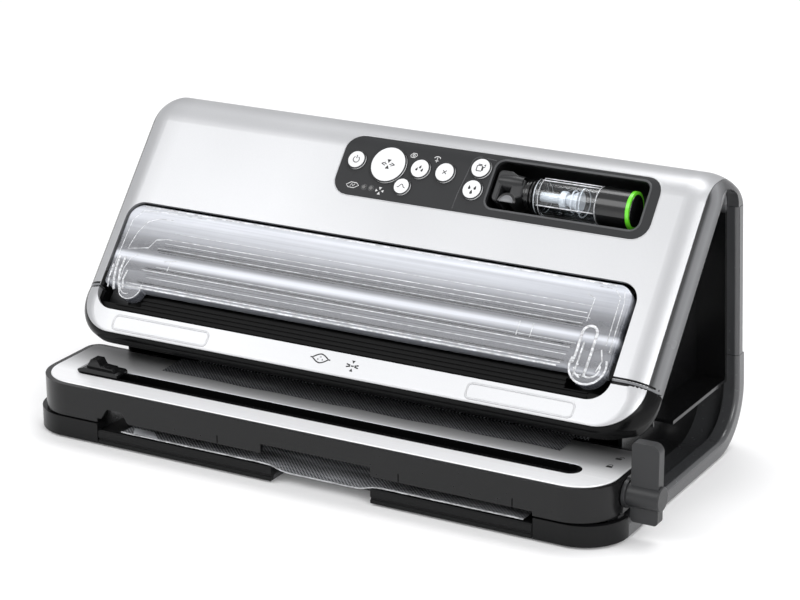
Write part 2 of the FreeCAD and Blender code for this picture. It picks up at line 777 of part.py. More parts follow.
def band_x():
    return (half - d.band_step).number


def band_arm(sign):
    """Convex band inside the slope ribbon: a bar along the slope with one wide rounding."""
    low = -d.band_depth.number
    x0, x1 = sorted((sign * (recess_x - d.wall).number, sign * band_x()))
    arm = slope_box(x0, x1, crown_start, 200, low, 0)
    rim = [
        edge for edge in arm.Edges
        if abs(slope_depth(edge.CenterOfMass) - low) < 0.01
        and abs(edge.CenterOfMass.x - sign * band_x()) < 0.01]
    return arm.makeFillet(d.band_round.number, rim)


chin_rear = 8.0


def chin_bottom():
    return slope_point(-d.nose_drop.number, -d.chin_depth.number)[1]


def nose_pieces():
    """Silver nose trim and the dark chin that wraps round it."""
    seam = d.seam.number
    width = half.number
    far = 300.0
    block_shape = nose_block()
    edge_x = width - d.ribbon_face.number
    low = -d.trim_bottom.number
    corner = d.nose_corner.number - d.ribbon_face.number
    underside = chin_bottom()
    keep = crown_zone(-far, far, -far, chin_rear, underside, far)
    middle_x = recess_x.number
    rim = slope_box(-far, far, -far, far, -d.ribbon.number, far)
    middle = crown_zone(-middle_x, middle_x, -far, far, 0, far)
    body = block_shape.common(rim.fuse(middle).fuse(nose_band())).common(keep)

    outline = slope_panel(-edge_x, edge_x, low, 60, -60, 20, corner, 0)
    opening = slope_panel(
        window_left, window_right, 0, 90, -60, 20, d.trim_inner_corner.number, 0)
    skin = slope_box(-far, far, -far, far, -d.side_round.number * 0.3 - d.wall.number, 20)
    trim = body.common(outline).cut(opening).common(skin)
    under_flat = slope_box(-edge_x + 8, edge_x - 8, low + 2.5, far, -60, -d.wall.number)
    trim = trim.cut(under_flat)

    gap = slope_panel(
        -edge_x - seam, edge_x + seam, low - seam, 60,
        -d.side_round.number * 0.3 - d.wall.number - seam, 20, corner + seam, 0)
    inner = slope_panel(
        -edge_x + 1, edge_x - 1, low + 1, 60, -90, 20, corner - 1, 0)
    inner = inner.common(crown_zone(-far, far, -far, far, underside + d.wall.number, far))
    chin = body.cut(gap).cut(inner)
    return trim, chin


def lower_wall(sign):
    """The recessed side panel's foot: it closes the side of the base behind the platform."""
    gap = d.seam.number
    x0, x1 = sorted((sign * (recess_x - d.wall).number, sign * recess_x.number))
    front = (d.platform_rear + d.swing_gap).number
    low = floor_top.number + gap
    step = chin_rear + 2 * gap
    join = d.belly_z.number + 0.1
    inset = (d.wall + 0.5).number + gap
    radius = d.heel_radius.number - inset
    centre_y = heel_centre_y()
    centre_z = low + radius
    slant = math.radians(-45)
    stops = [
        (front, low), (centre_y, low),
        (centre_y + radius * math.cos(slant), centre_z + radius * math.sin(slant)),
        (centre_y + radius, centre_z), (rear_y(join, inset + 1), join), (step, join),
        (step, chin_bottom() - gap), (front, chin_bottom() - gap)]
    points = [face_point(x0, stop) for stop in stops]
    edges = [Part.makeLine(points[0], points[1]), Part.Arc(*points[1:4]).toShape()]
    edges += [Part.makeLine(a, b) for a, b in zip(points[3:], points[4:] + points[:1])]
    return Part.Face(Part.Wire(edges)).extrude(Vector(x1 - x0, 0, 0))


def side_panel(sign, chin):
    """Recessed side panel: a shallow tray inside the ribbon, with the convex band on its front."""
    seam = d.seam.number
    ribbon = d.ribbon.number + seam
    width = half.number
    low_z = d.belly_z.number
    outer_x = width - d.ribbon_face.number
    behind = d.rear_ribbon.number + seam
    outline = crown_solid(ribbon, crown_start, low_z, width + 10, behind)
    hollow = crown_solid(
        ribbon + d.wall.number, crown_start + d.wall.number, low_z + 2.2, width + 20,
        behind + d.wall.number)
    x0, x1 = sorted((sign * (recess_x - d.wall).number, sign * outer_x))
    tray = outline.common(crown_zone(x0, x1, -300, 300, low_z, 300))
    h0, h1 = sorted((sign * recess_x.number, sign * 300))
    tray = tray.cut(hollow.common(crown_zone(h0, h1, -300, 300, 0, 300)))
    tray = tray.fuse(band_arm(sign).common(outline))
    inside = abs(d.film_middle.number) + d.film_width.number / 2 + 9
    b0, b1 = sorted((sign * inside, sign * (width - ribbon)))
    belly = crown_zone(b0, b1, 9, rear_y(low_z, d.wall.number + 3), low_z, low_z + 2.2)
    nose_under = crown_zone(
        -300, 300, -300, chin_rear + 2 * seam, 0, chin_bottom() + d.wall.number + seam)
    tray = tray.cut(nose_under).fuse(belly).fuse(lower_wall(sign))
    return tray.cut(chin).removeSplitter()


# ---------------------------------------------------------------- base

def back_line(z, inset):
    """Y of the leaning back at a height, as a Dim, moved inwards by inset."""
    return Dim(rear_y(dim(z).number)) - inset / math.cos(rear_turn)


def soften_rails(body, shelf):
    """Rounds the inner edge of each side rail along its outer face."""
    names = []
    for number, edge in enumerate(body.Tip.Shape.Edges, 1):
        box = edge.BoundBox
        middle = edge.CenterOfMass
        outer_face = box.XLength < 0.01 and abs(abs(middle.x) - half.number) < 0.01
        on_top = abs(box.ZMin - shelf.number) < 0.01 and abs(box.ZMax - shelf.number) < 0.01
        if outer_face and on_top:
            names.append(f"Edge{number}")
    add_fillet(body, d.ribbon_soft, names)


def base_tray():
    """Floor, leaning rear wall and thick side rails, with a front tongue and hinge posts."""
    body = new_body("base_tray")
    low, step = d.base_bottom, d.rear_step
    outer = d.wall + 0.5
    heel = (back_line(low, Dim(0)), low, d.heel_radius)
    wall_outline = [
        (d.tray_start, low), heel, (back_line(step, Dim(0)), step), (back_line(step, outer), step),
        (back_line(floor_top, outer), floor_top, d.heel_radius - outer), (d.tray_start, floor_top),
    ]
    pad(body, "YZ_Plane", [wall_outline], -half, half)
    deep = d.rear_ribbon
    shelf = low + deep
    rail = [
        (d.tray_start, low), heel, (back_line(step, Dim(0)), step), (back_line(step, deep), step),
        (back_line(shelf, deep), shelf, d.heel_radius - deep), (d.tray_start, shelf),
    ]
    for sign in (-1, 1):
        pad(body, "YZ_Plane", [rail], sign * (half - deep), sign * half)
    soften_rails(body, shelf)
    inset = d.wall + 0.8
    tongue_y = d.base_front + inset
    tongue_x = half - inset
    tongue = box_outline(-tongue_x, tongue_x, tongue_y, d.tray_start + 4, d.corner_round - inset)
    pad(body, "XY_Plane", [tongue], d.base_bottom, floor_top)
    cut(body, "XY_Plane", [box_outline(d.grip_left, d.grip_right, tongue_y - 2,
                                       d.base_front + d.grip_depth)], d.base_bottom, floor_top)
    boss = d.hinge_boss
    for sign in (-1, 1):
        post_in = sign * (platform_half - 15)
        post_out = sign * (platform_half - 8.5)
        post = box_outline(post_in, post_out, d.hinge_y - 6, d.hinge_y + 1)
        pad(body, "XY_Plane", [post], floor_top - 1, d.hinge_z)
        pad(body, "YZ_Plane", [("circle", d.hinge_y, d.hinge_z, boss)], post_in, post_out)
    reach = platform_half - 3
    cut(body, "YZ_Plane", [("circle", d.hinge_y, d.hinge_z, d.hinge_pin)], -reach, reach)
    keeper_x = platform_half - d.wall
    keeper_top = d.lever_z - d.cam_radius - d.seam
    pad(body, "XY_Plane", [box_outline(keeper_x - 7, keeper_x - 0.4, d.lever_y - 4, d.lever_y + 4)],
        floor_top - 1, keeper_top)
    for x, y in screw_places():
        cut(body, "XY_Plane", [("circle", x, y, d.screw_radius + 0.1)], low, floor_top)
    return body


def base_corner(name, sign, shelf_end):
    """Front corner of the lower base, a wall that follows the rounded plan."""
    body = new_body(name)
    outer = half * sign
    inner = (half - d.wall - 0.5) * sign
    start = shelf_end + sign * d.seam
    rear = d.tray_start - d.seam
    front = d.base_front
    inset = d.wall + 0.5
    curve, inner_curve = d.corner_round, d.corner_round - inset
    wall_outline = [(start, front), (outer, front, curve), (outer, rear), (start, rear)]
    hollow = [(start - sign * 5, front + inset), (inner, front + inset, inner_curve),
              (inner, rear + 5), (start - sign * 5, rear + 5)]
    pad(body, "XY_Plane", [wall_outline], d.base_bottom, d.corner_top)
    cut(body, "XY_Plane", [hollow], d.base_bottom, d.corner_top)
    return body


def film_shelf(name, x0, x1):
    """Front shelf that carries the film, with a stepped face."""
    body = new_body(name)
    front = d.base_front
    bottom = d.base_bottom
    inset = d.wall + 0.8 - d.seam
    outline = [
        (front, bottom), (front + inset, bottom), (front + inset, floor_top + 0.05),
        (front + 40, floor_top + 0.05), (front + 40, d.shelf_top - 1.6),
        (front + 1, d.shelf_top), (front, d.shelf_top - 0.8), (front, bottom + 4),
        (front + 0.9, bottom + 3.3), (front + 0.9, bottom + 2.5), (front, bottom + 1.8),
    ]
    pad(body, "YZ_Plane", [outline], x0, x1)
    return body


def feet():
    body = new_body("feet")
    x = half - d.foot_inset
    for fx in (-x, x):
        for fy in (d.base_front + d.foot_inset, dim(40)):
            pad(body, "XY_Plane", [("circle", fx, fy, d.foot_radius)], 0, d.base_bottom)
    return body


def film_guide():
    """Ramp that leads the film from the roll bay under the platform."""
    body = new_body("film_guide")
    low_y, low_z = d.ramp_low_y, d.ramp_low_z
    top_y, top_z = d.ramp_top_y, d.ramp_top_z
    outline = [
        (low_y, floor_top + 0.05), (low_y, low_z), (top_y, top_z), (top_y + 2, top_z - 1),
        (top_y + 2, floor_top + 0.05), (top_y - 0.5, floor_top + 0.05), (top_y - 0.5, top_z - 3.4),
        (low_y + d.wall, low_z - 1.2), (low_y + d.wall, floor_top + 0.05),
    ]
    pad(body, "YZ_Plane", [outline], film_left - 4, film_right + 4)
    return body


def roll_cradle():
    """Trough under the roll with an end cheek and a journal at each side."""
    body = new_body("roll_cradle")
    bay = d.roll_radius + 3
    front, rear = d.roll_y - bay - 2.5, d.roll_y + bay + 2.5
    low = d.roll_z - bay - 2.5
    floor = floor_top + 0.05
    inner_left, inner_right = film_left - 2, film_right + 2
    rim = d.roll_z - 4
    trough = [(front, low), (rear, low, 14), (rear, rim), (front, rim)]
    pad(body, "YZ_Plane", [trough], inner_left, inner_right)
    cut(body, "YZ_Plane", [("circle", d.roll_y, d.roll_z, bay)], inner_left, inner_right)
    top = d.roll_z + 15
    cheek = [(front, floor), (rear - 20, floor), (rear, floor + 13), (rear, top), (front, top)]
    journal = d.core_radius - d.core_wall - d.running_gap
    for inner, outward in ((inner_left, -1), (inner_right, 1)):
        outer = inner + outward * 2.5
        pad(body, "YZ_Plane", [cheek], inner, outer)
        rod(body, outer, inner - outward * 11, d.roll_y, d.roll_z, journal)
    return body


def film_roll_pieces():
    core = new_body("roll_core")
    rod(core, film_left, film_right, d.roll_y, d.roll_z, d.core_radius)
    cut(core, "YZ_Plane", [("circle", d.roll_y, d.roll_z, d.core_radius - d.core_wall)],
        film_left, film_right)
    roll = new_body("film_roll")
    rod(roll, film_left, film_right, d.roll_y, d.roll_z, d.roll_radius)
    cut(roll, "YZ_Plane", [("circle", d.roll_y, d.roll_z, d.core_radius)], film_left, film_right)
    return core, roll


def film_web():
    """Film from the roll over the ramp and out over the front shelf."""
    body = new_body("film_web")
    lift = d.seam
    away = (d.roll_y - d.ramp_top_y).number
    clear = (d.roll_radius + 2 * d.seam).number
    turn = math.asin(clear / away)
    run = math.sqrt(away ** 2 - clear ** 2)
    leave_y, leave_z = run * math.cos(turn), run * math.sin(turn)
    under = [
        (d.ramp_top_y + leave_y, d.ramp_top_z + lift + leave_z), (d.ramp_top_y, d.ramp_top_z + lift),
        (d.ramp_low_y, d.ramp_low_z + lift), (d.ramp_low_y - 16, d.shelf_top + 3),
        (d.base_front + 40, d.shelf_top - 1.3), (d.base_front + 1, d.shelf_top + lift),
    ]
    over = [(y, z + d.film_thick) for y, z in reversed(under)]
    pad(body, "YZ_Plane", [under + over], film_left, film_right)
    return body


# ---------------------------------------------------------------- platform

def platform_body():
    body = new_body("platform_body")
    x = platform_half
    front, rear = d.base_front, d.platform_rear
    wall = d.wall
    deck = d.platform_top - d.plate_sink - d.platform_deck
    curve, rear_curve = d.corner_round, d.platform_rear_round
    pad(body, "XY_Plane", [box_outline(-x, x, front, rear, curve, rear_curve)],
        d.platform_low, d.platform_top)
    cut(body, "XY_Plane", [box_outline(-x + wall, x - wall, front + wall, rear - wall,
                                       curve - wall, rear_curve - wall)], d.platform_low, deck)
    bed = d.plate_inset - 0.15
    cut(body, "XY_Plane", [box_outline(-x + bed, x - bed, front + bed, rear - bed,
                                       curve - bed, rear_curve - bed)],
        d.platform_top - d.plate_sink, d.platform_top)
    cut(body, "XZ_Plane", [box_outline(shelf_left, shelf_right, d.platform_low - 1, d.skirt_exit)],
        front - 1, front + wall + 1)
    grip = [(d.grip_left - 7, d.skirt_exit - 1), (d.grip_right, d.skirt_exit - 1),
            (d.grip_right, d.grip_top), (d.grip_left - 7, d.grip_top)]
    cut(body, "XZ_Plane", [grip], front - 1, front + wall + 1)
    middle = shelf_left + 13
    hexagon = [(middle - 12, d.platform_low - 1), (middle + 10, d.platform_low - 1),
               (middle + 10, d.skirt_exit), (middle + 5.5, d.grip_top + 1),
               (middle - 5.5, d.grip_top + 1), (middle - 10, d.skirt_exit)]
    cut(body, "XZ_Plane", [hexagon], front - 1, front + wall + 1)
    for x_slit in (-58, 68, 142.7):
        cut(body, "XZ_Plane", [box_outline(x_slit - 0.35, x_slit + 0.35, d.skirt_exit - 1,
                                           d.skirt_exit + 5.5)], front - 1, front + 0.8)
    cut(body, "XZ_Plane", [box_outline(film_left - 6, film_right + 6, d.platform_low - 1,
                                       d.ramp_low_z + 5.5)], rear - wall - 1, rear + 1)
    low = d.platform_low
    swing = [(d.hinge_y - 3, low - 1), (rear + 1, low - 1), (rear + 1, low + 2.8), (d.hinge_y - 3, low)]
    cut(body, "YZ_Plane", [swing], -x - 1, x + 1)
    cut_obround(body, slot_left + d.slot_half, slot_right - d.slot_half, d.slot_y,
                d.slot_half + 1, deck - 1, d.platform_top)
    bore = d.hinge_pin + d.pin_gap
    cut(body, "YZ_Plane", [("circle", d.hinge_y, d.hinge_z, bore)], -x - 1, x + 1)
    shaft_hole = d.shaft_radius + d.pin_gap
    cut(body, "YZ_Plane", [("circle", d.lever_y, d.lever_z, shaft_hole)], x - wall - 1, x + 1)
    return body


def platform_plate():
    body = new_body("platform_plate")
    inset = d.plate_inset
    x = platform_half - inset
    low = d.platform_top - d.plate_sink
    plan = box_outline(-x, x, d.base_front + inset, d.platform_rear - inset,
                       d.corner_round - inset, d.platform_rear_round - inset)
    pad(body, "XY_Plane", [plan], low, plate_top)
    soften_face(body, 0.6, plate_top)
    cut_obround(body, slot_left + d.slot_half, slot_right - d.slot_half, d.slot_y,
                d.slot_half + 0.9, low, plate_top)
    return body


def cutter_track():
    """Black channel through the plate with a lip round the slot."""
    body = new_body("cutter_track")
    left, right = slot_left + d.slot_half, slot_right - d.slot_half
    pad_obround(body, left, right, d.slot_y, d.slot_half + 0.8, d.track_floor, plate_top)
    pad_obround(body, left, right, d.slot_y, d.slot_half + d.track_lip, plate_top, plate_top + 0.5)
    cut_obround(body, left, right, d.slot_y, d.slot_half, d.track_floor + 1.5, plate_top + 0.5)
    cut(body, "XY_Plane", [box_outline(left, right, d.slot_y - 0.8, d.slot_y + 0.8)],
        d.track_floor, d.track_floor + 1.5)
    return body


def slider_middle():
    return slot_left + d.slider_length / 2


def cutter_slider():
    """Slider head with a raised fin and a foot in the track."""
    body = new_body("cutter_slider")
    middle = slider_middle()
    base = plate_top + 0.5 + d.running_gap
    reach = d.slider_length / 2
    y0, y1 = d.slot_y - d.slider_width / 2, d.slot_y + d.slider_width / 2
    low_head = [(middle - reach, base), (middle + reach, base), (middle + reach, base + 1.6),
                (middle + reach - 1.5, base + 2.6), (middle - reach + 4, base + 3),
                (middle - reach, base + 1.4)]
    pad(body, "XZ_Plane", [low_head], y0, y1)
    fin = [(middle - 9, base + 2.4), (middle + 11, base + 2.4), (middle + 9, base + 4.2),
           (middle + 1.5, base + 4.6), (middle - 1, base + d.slider_rise),
           (middle - 6, base + d.slider_rise), (middle - 9, base + 3.6)]
    pad(body, "XZ_Plane", [fin], y0 + 2, y1 - 2)
    foot = d.slot_half - d.running_gap
    pad(body, "XY_Plane", [box_outline(middle - reach + 6, middle + reach - 6, d.slot_y - foot,
                                       d.slot_y + foot)], d.track_floor + 2, base + 0.5)
    return body


def cutter_blade():
    body = new_body("cutter_blade")
    middle = slider_middle()
    low = d.track_floor - 5
    outline = [(middle - 4, d.track_floor + 2), (middle - 1.5, low), (middle + 1.5, low),
               (middle + 4, d.track_floor + 2)]
    pad(body, "XZ_Plane", [outline], d.slot_y - 0.3, d.slot_y + 0.3)
    return body


def lever():
    """Lock lever: a flat paddle across a round barrel."""
    body = new_body("lever")
    x0 = platform_half + d.lever_stand
    x1 = lever_out - d.lever_face
    low, high = d.lever_z - d.lever_down, d.lever_z + d.lever_up
    y0, y1 = d.lever_y - d.lever_thick / 2, d.lever_y + d.lever_thick / 2
    pad(body, "XZ_Plane", [box_outline(x0, x1, low, high)], y0, y1)
    soften(body, 5, "y", [(x1, high)])
    soften(body, 2.5, "y", [(x0, high), (x0, low), (x1, low)])
    collar = platform_half + d.running_gap
    rod(body, collar + 2, lever_out, d.lever_y, d.lever_z, d.lever_barrel)
    soften_face(body, 0.8, lever_out, "x")
    rod(body, collar, collar + 2.2, d.lever_y, d.lever_z, d.lever_barrel + 1.3)
    cut(body, "YZ_Plane", [("circle", d.lever_y, d.lever_z, d.shaft_radius)], collar, collar + 14)
    return body


def lever_shaft():
    """Steel shaft through the skirt with a round locking cam on its inner end."""
    body = new_body("lever_shaft")
    wall_in = platform_half - d.wall
    rod(body, wall_in - 7, wall_in + d.wall + d.running_gap + 14, d.lever_y, d.lever_z, d.shaft_radius)
    rod(body, wall_in - 6.4, wall_in - 0.4, d.lever_y + 1.5, d.lever_z, d.cam_radius)
    return body


def platform_pins():
    body = new_body("platform_pins")
    outer = platform_half - 0.4
    inner = platform_half - 15
    rod(body, -outer, -inner, d.hinge_y, d.hinge_z, d.hinge_pin)
    rod(body, inner, outer, d.hinge_y, d.hinge_z, d.hinge_pin)
    return body


# ---------------------------------------------------------------- control panel and dock

def panel_prism(grow, n0, n1):
    """The outline of the control panel, grown on every side."""
    corner = d.panel_corner.number + grow
    return slope_panel(
        d.panel_left.number - grow, d.panel_right.number + grow,
        d.panel_low.number - grow, d.panel_high.number + grow, n0, n1, corner, corner)


def slope_rod(x, s, radius, n0, n1):
    """A round bar along the slope's normal."""
    foot = Vector(x, *slope_point(s, n0))
    normal = Vector(0, -math.sin(slope_turn), math.cos(slope_turn))
    return Part.makeCylinder(radius, n1 - n0, foot, normal)


def axis_rod(x0, x1, s, n, radius):
    """A round bar along X at a place of the slope."""
    return Part.makeCylinder(radius, x1 - x0, Vector(x0, *slope_point(s, n)), Vector(1, 0, 0))


def button_places():
    places = []
    for name, x, s, radius in BUTTONS:
        places.append((name, float(x), float(s), float(radius)))
    return places


def board_posts():
    left, low = d.panel_left.number + 6.5, d.panel_low.number + 5
    right, high = d.dock_left.number - 6, d.panel_high.number - 6.6
    return [(left, low), (right, low), (left, high), (right - 19, high)]




def control_panel(crown, board_top):
    """Panel flush with the shell, with round button holes, the dock opening and board posts."""
    thick = d.panel_thick.number
    inside = crown_solid(thick, -5, d.rear_step.number, half.number)
    panel = crown.common(panel_prism(0, -30, 20)).cut(inside)
    for name, x, s, radius in button_places():
        hole = radius + d.button_gap.number
        seat = hole + d.button_flange.number
        panel = panel.cut(slope_rod(x, s, hole, -20, 20))
        panel = panel.cut(slope_rod(x, s, seat, -20, flange_top().number + 0.1))
    for x, s in LIGHTS:
        panel = panel.cut(slope_rod(x, s, d.light_radius.number + 0.15, -20, 20))
    panel = panel.cut(dock_prism(0, -30, 20))
    for x, s in board_posts():
        panel = panel.fuse(slope_rod(x, s, 2.8, board_top, -thick + 0.2))
    return panel.removeSplitter()


def dock_prism(grow, n0, n1):
    corner = d.dock_corner.number + grow
    return slope_panel(
        d.dock_left.number - grow, d.dock_right.number + grow,
        d.dock_low.number - grow, d.dock_high.number + grow, n0, n1, corner, corner)


def dock_tray():
    """Pocket behind the panel with two saddles that carry the handheld sealer."""
    wall = d.dock_wall.number
    depth = d.dock_depth.number
    under_panel = crown_solid(d.panel_thick.number + 0.05, -5, d.rear_step.number, half.number)
    tray = under_panel.common(dock_prism(wall, -depth - wall, 20))
    tray = tray.cut(dock_prism(0, -depth, 20))
    s, n = d.handheld_s.number, d.handheld_n.number
    radius = d.handheld_radius.number
    for x in (d.reservoir_left.number + 10, d.cap_left.number + 9):
        saddle = slope_box(x, x + wall, s - radius, s + radius, -depth - 0.1, n - 4)
        reach = d.reservoir_radius.number if x < d.cap_left.number else radius
        tray = tray.fuse(saddle.cut(axis_rod(x - 1, x + wall + 1, s, n, reach + d.seam.number)))
    return tray.removeSplitter()


def handheld_pieces():
    """Handheld sealer: hook-shaped head, neck, clear reservoir, valve, cap and colour ring."""
    s, n = d.handheld_s, d.handheld_n
    head = new_body("handheld_head", True)
    left, neck = d.dock_left + 2.5, d.neck_left
    reach = d.handheld_radius - 1.5
    outline = [
        (left, s - reach), (left + 9, s - reach), (neck, s - reach + 5), (neck, s + reach - 5),
        (left + 9, s + reach), (left, s + reach),
    ]
    pad(head, "XY_Plane", [outline], n - 8, n + 8.5)
    soften(head, 3, "z", [(left, s - reach), (left, s + reach)])
    cut(head, "XY_Plane", [box_outline(left + 4.5, left + 11, s - reach - 1, s + 2)], n - 8, n + 8.5)
    soften_face(head, 1.2, n + 8.5)
    neck_piece = new_body("handheld_neck", True)
    rod(neck_piece, neck, d.reservoir_left, s, n, d.handheld_radius - 4)
    for x in (2, 5):
        rod(neck_piece, neck + x, neck + x + 1.4, s, n, d.handheld_radius - 3)
    tank = new_body("handheld_reservoir", True)
    inner = d.reservoir_radius - d.reservoir_wall
    rod(tank, d.reservoir_left, d.cap_left, s, n, d.reservoir_radius)
    soften_face(tank, 2, d.reservoir_left, "x")
    cut(tank, "YZ_Plane", [("circle", s, n, inner)], d.reservoir_left + d.reservoir_wall, d.cap_left)
    valve = new_body("handheld_valve", True)
    start = d.reservoir_left + d.reservoir_wall
    rod(valve, start, start + 14, s, n, 3)
    rod(valve, start + 14, start + 17, s, n, 5.5)
    cut(valve, "YZ_Plane", [("circle", s, n, 1.6)], start, start + 12)
    cap = new_body("handheld_cap", True)
    rod(cap, d.cap_left, d.cap_right, s, n, d.handheld_radius)
    rod(cap, d.cap_right, d.cap_right + 2.9, s, n, d.handheld_radius - 2)
    soften_face(cap, 1, d.cap_right + 2.9, "x")
    ring = new_body("handheld_ring", True)
    rod(ring, d.cap_right, d.cap_right + 2.2, s, n, d.handheld_radius - 0.2)
    cut(ring, "YZ_Plane", [("circle", s, n, d.handheld_radius - 2)], d.cap_right, d.cap_right + 2.2)


def flange_top():
    return -d.panel_thick - 0.45


def push_button(name):
    """Round button with a soft edge and a flange that holds it behind the panel."""
    body = new_body(name, True)
    x, s = getattr(d, name + "_x"), getattr(d, name + "_s")
    radius = getattr(d, name + "_radius")
    top = flange_top()
    pad(body, "XY_Plane", [("circle", x, s, radius)], top - 0.1, d.button_rise)
    pad(body, "XY_Plane", [("circle", x, s, radius + d.button_flange)], top - 1.7, top)
    soften_face(body, 0.8, d.button_rise)
    return body


def key_top():
    return flange_top() - 1.7 - d.button_travel - d.seam


def circuit_board():
    board = new_body("circuit_board", True)
    top = key_top() - 1.1
    pad(board, "XY_Plane", [box_outline(d.panel_left + 1.5, d.dock_left - d.dock_wall - 0.7,
                                        d.panel_low + 1.4, d.panel_high - 2.1)], top - 1.6, top)
    keys = new_body("key_pads", True)
    for name, x, s, radius in button_places():
        pad(keys, "XY_Plane", [("circle", getattr(d, name + "_x"), getattr(d, name + "_s"),
                                getattr(d, name + "_radius") * 0.55)], top, key_top())
    lights = new_body("indicator_lights", True)
    for x, s in LIGHTS:
        pad(lights, "XY_Plane", [("circle", x, s, d.light_radius)], top, 0.3)
    return top


# ---------------------------------------------------------------- sealing chamber and lid

def lugs():
    """Side, middle, place up the slope and radius of each lid lug."""
    for side, inset, s, radius in LUGS:
        yield side, window_half - float(inset), dim(float(s)), dim(float(radius))


def chamber_tray():
    """Chamber behind the window with a ribbed bag lip, pin ears and room for the lid lugs."""
    body = new_body("chamber_tray", True, d.window_middle)
    x = window_half - d.running_gap
    low, high = d.lip_low, d.window_top - 0.8
    floor = -d.chamber_depth
    rim = -d.lid_depth - 1
    lip_top = d.lid_low - 3.2
    shoulder = -d.ribbon + 0.3
    deep_left = -(recess_x - d.wall - 0.5) - d.window_middle
    deep_right = recess_x - d.wall - 0.5 - d.window_middle
    pad(body, "XY_Plane", [box_outline(deep_left, deep_right, low, high)], floor, shoulder)
    pad(body, "XY_Plane", [box_outline(-x, x, low, high)], shoulder, rim)
    cut(body, "XY_Plane", [box_outline(deep_left + d.wall, deep_right - d.wall, lip_top + 2,
                                       high - 2.6)], floor + 2.5, rim)
    pad(body, "XY_Plane", [box_outline(-x, x, low, lip_top)], rim - 1, -5)
    for step in range(4):
        start = low + 1.6 + step * 2.8
        pad(body, "XY_Plane", [box_outline(-x + 14, x - 14, start, start + 1.2)], -5.1, -4)
    ear = x - 2.3
    for sign, x_lug, s_lug, radius in lugs():
        x0, x1 = sign * (x_lug - radius - 0.6), sign * (ear + 0.01)
        sweep = d.lid_pivot_s - s_lug + radius + 2
        cut(body, "XY_Plane", [box_outline(x0, x1, d.lid_pivot_s - sweep, d.lid_pivot_s + 13)],
            d.lid_pivot_n - sweep - 0.5, -3)
        pad(body, "XY_Plane", [box_outline(sign * ear, sign * x, d.lid_pivot_s - 5,
                                           d.lid_pivot_s + 5)], rim - 1, d.lid_pivot_n + 3.4)
    bore = d.lid_pin + d.pin_gap
    cut(body, "YZ_Plane", [("circle", d.lid_pivot_s, d.lid_pivot_n, bore)], -x - 1, x + 1)
    return body


def window_lid():
    """Clear shell with a deep rim and round lugs at its lower corners."""
    body = new_body("window_lid", True, d.window_middle)
    x, low, high = lid_half, d.lid_low, d.lid_high
    under = -d.lid_depth
    pad(body, "XY_Plane", [box_outline(-x, x, low, high, 3, d.lid_corner)], under, d.lid_crown)
    for sign, x_lug, s_lug, radius in lugs():
        pad(body, "XY_Plane", [("circle", sign * x_lug, s_lug, radius)],
            d.lid_pivot_n - 2, d.lid_crown)
    soften_face(body, 1.5, d.lid_crown)
    wall = d.lid_thick
    cut(body, "XY_Plane", [box_outline(-x + wall, x - wall, low + wall, high - wall,
                                       None, d.lid_corner - wall)], under, d.lid_crown - wall)
    for sign in (-1, 1):
        boss = sign * (x - wall)
        pad(body, "XY_Plane", [box_outline(boss, sign * (x - d.lid_boss), d.lid_pivot_s - 1,
                                           d.lid_pivot_s + 3.6)], d.lid_pivot_n - 3.4,
            d.lid_crown - wall + 0.1)
    cut(body, "YZ_Plane", [("circle", d.lid_pivot_s, d.lid_pivot_n, d.lid_pin)], -x - 1, x + 1)
    return body


def lid_pins():
    body = new_body("lid_pins", True, d.window_middle)
    tip = window_half - d.running_gap - 0.2
    for sign in (-1, 1):
        rod(body, sign * (lid_half - 12), sign * tip, d.lid_pivot_s, d.lid_pivot_n, d.lid_pin)
    return body


def gasket(name, x_out, low, high, width, n0, n1):
    """A rubber frame on the slope."""
    body = new_body(name, True, d.window_middle)
    pad(body, "XY_Plane", [box_outline(-x_out, x_out, low, high)], n0, n1)
    cut(body, "XY_Plane", [box_outline(-x_out + width, x_out - width, low + width, high - width)],
        n0, n1)
    return body


def chamber_gaskets():
    seat = -d.chamber_depth + 2.5
    gasket("chamber_gasket", lid_half - 14, d.bar_s + 8, d.lid_high - d.lid_thick - 3, 3.5, seat,
           -d.lid_depth - 3)
    gasket("lid_gasket", lid_half - 14, d.bar_s + 8, d.lid_high - d.lid_thick - 3, 3.5,
           -d.lid_depth - 2.7, d.lid_crown - d.lid_thick)


def pressure_bar():
    """Bright bar under the lid on two carriers."""
    body = new_body("pressure_bar", True, d.window_middle)
    rod(body, -bar_half, lid_half - d.bar_inset_right, d.bar_s, d.bar_n, d.bar_radius)
    for x in (-100.5, 123.5):
        pad(body, "XY_Plane", [box_outline(x - 4, x + 4, d.bar_s - 2, d.bar_s + 2)],
            d.bar_n + 2, d.lid_crown - d.lid_thick)
    return body


def sealing_strip():
    body = new_body("sealing_strip", True, d.window_middle)
    pad(body, "XY_Plane", [box_outline(-strip_half, strip_half, d.bar_s - 3.5, d.bar_s + 3.5)],
        -d.chamber_depth + 2.5, d.bar_n - d.bar_radius - d.seam)


def drip_tray():
    """Removable tray on the chamber floor behind the sealing strip."""
    body = new_body("drip_tray", True, d.window_middle)
    x = lid_half - 22
    low, high = d.bar_s + 13, d.lid_high - d.lid_thick - 8
    floor = -d.chamber_depth + 2.5 + d.seam
    pad(body, "XY_Plane", [box_outline(-x, x, low, high, 4, 4)], floor, floor + 5)
    cut(body, "XY_Plane", [box_outline(-x + 1.5, x - 1.5, low + 1.5, high - 1.5, 2.5, 2.5)],
        floor + 1.5, floor + 5)
    return body


# ---------------------------------------------------------------- inside the housing

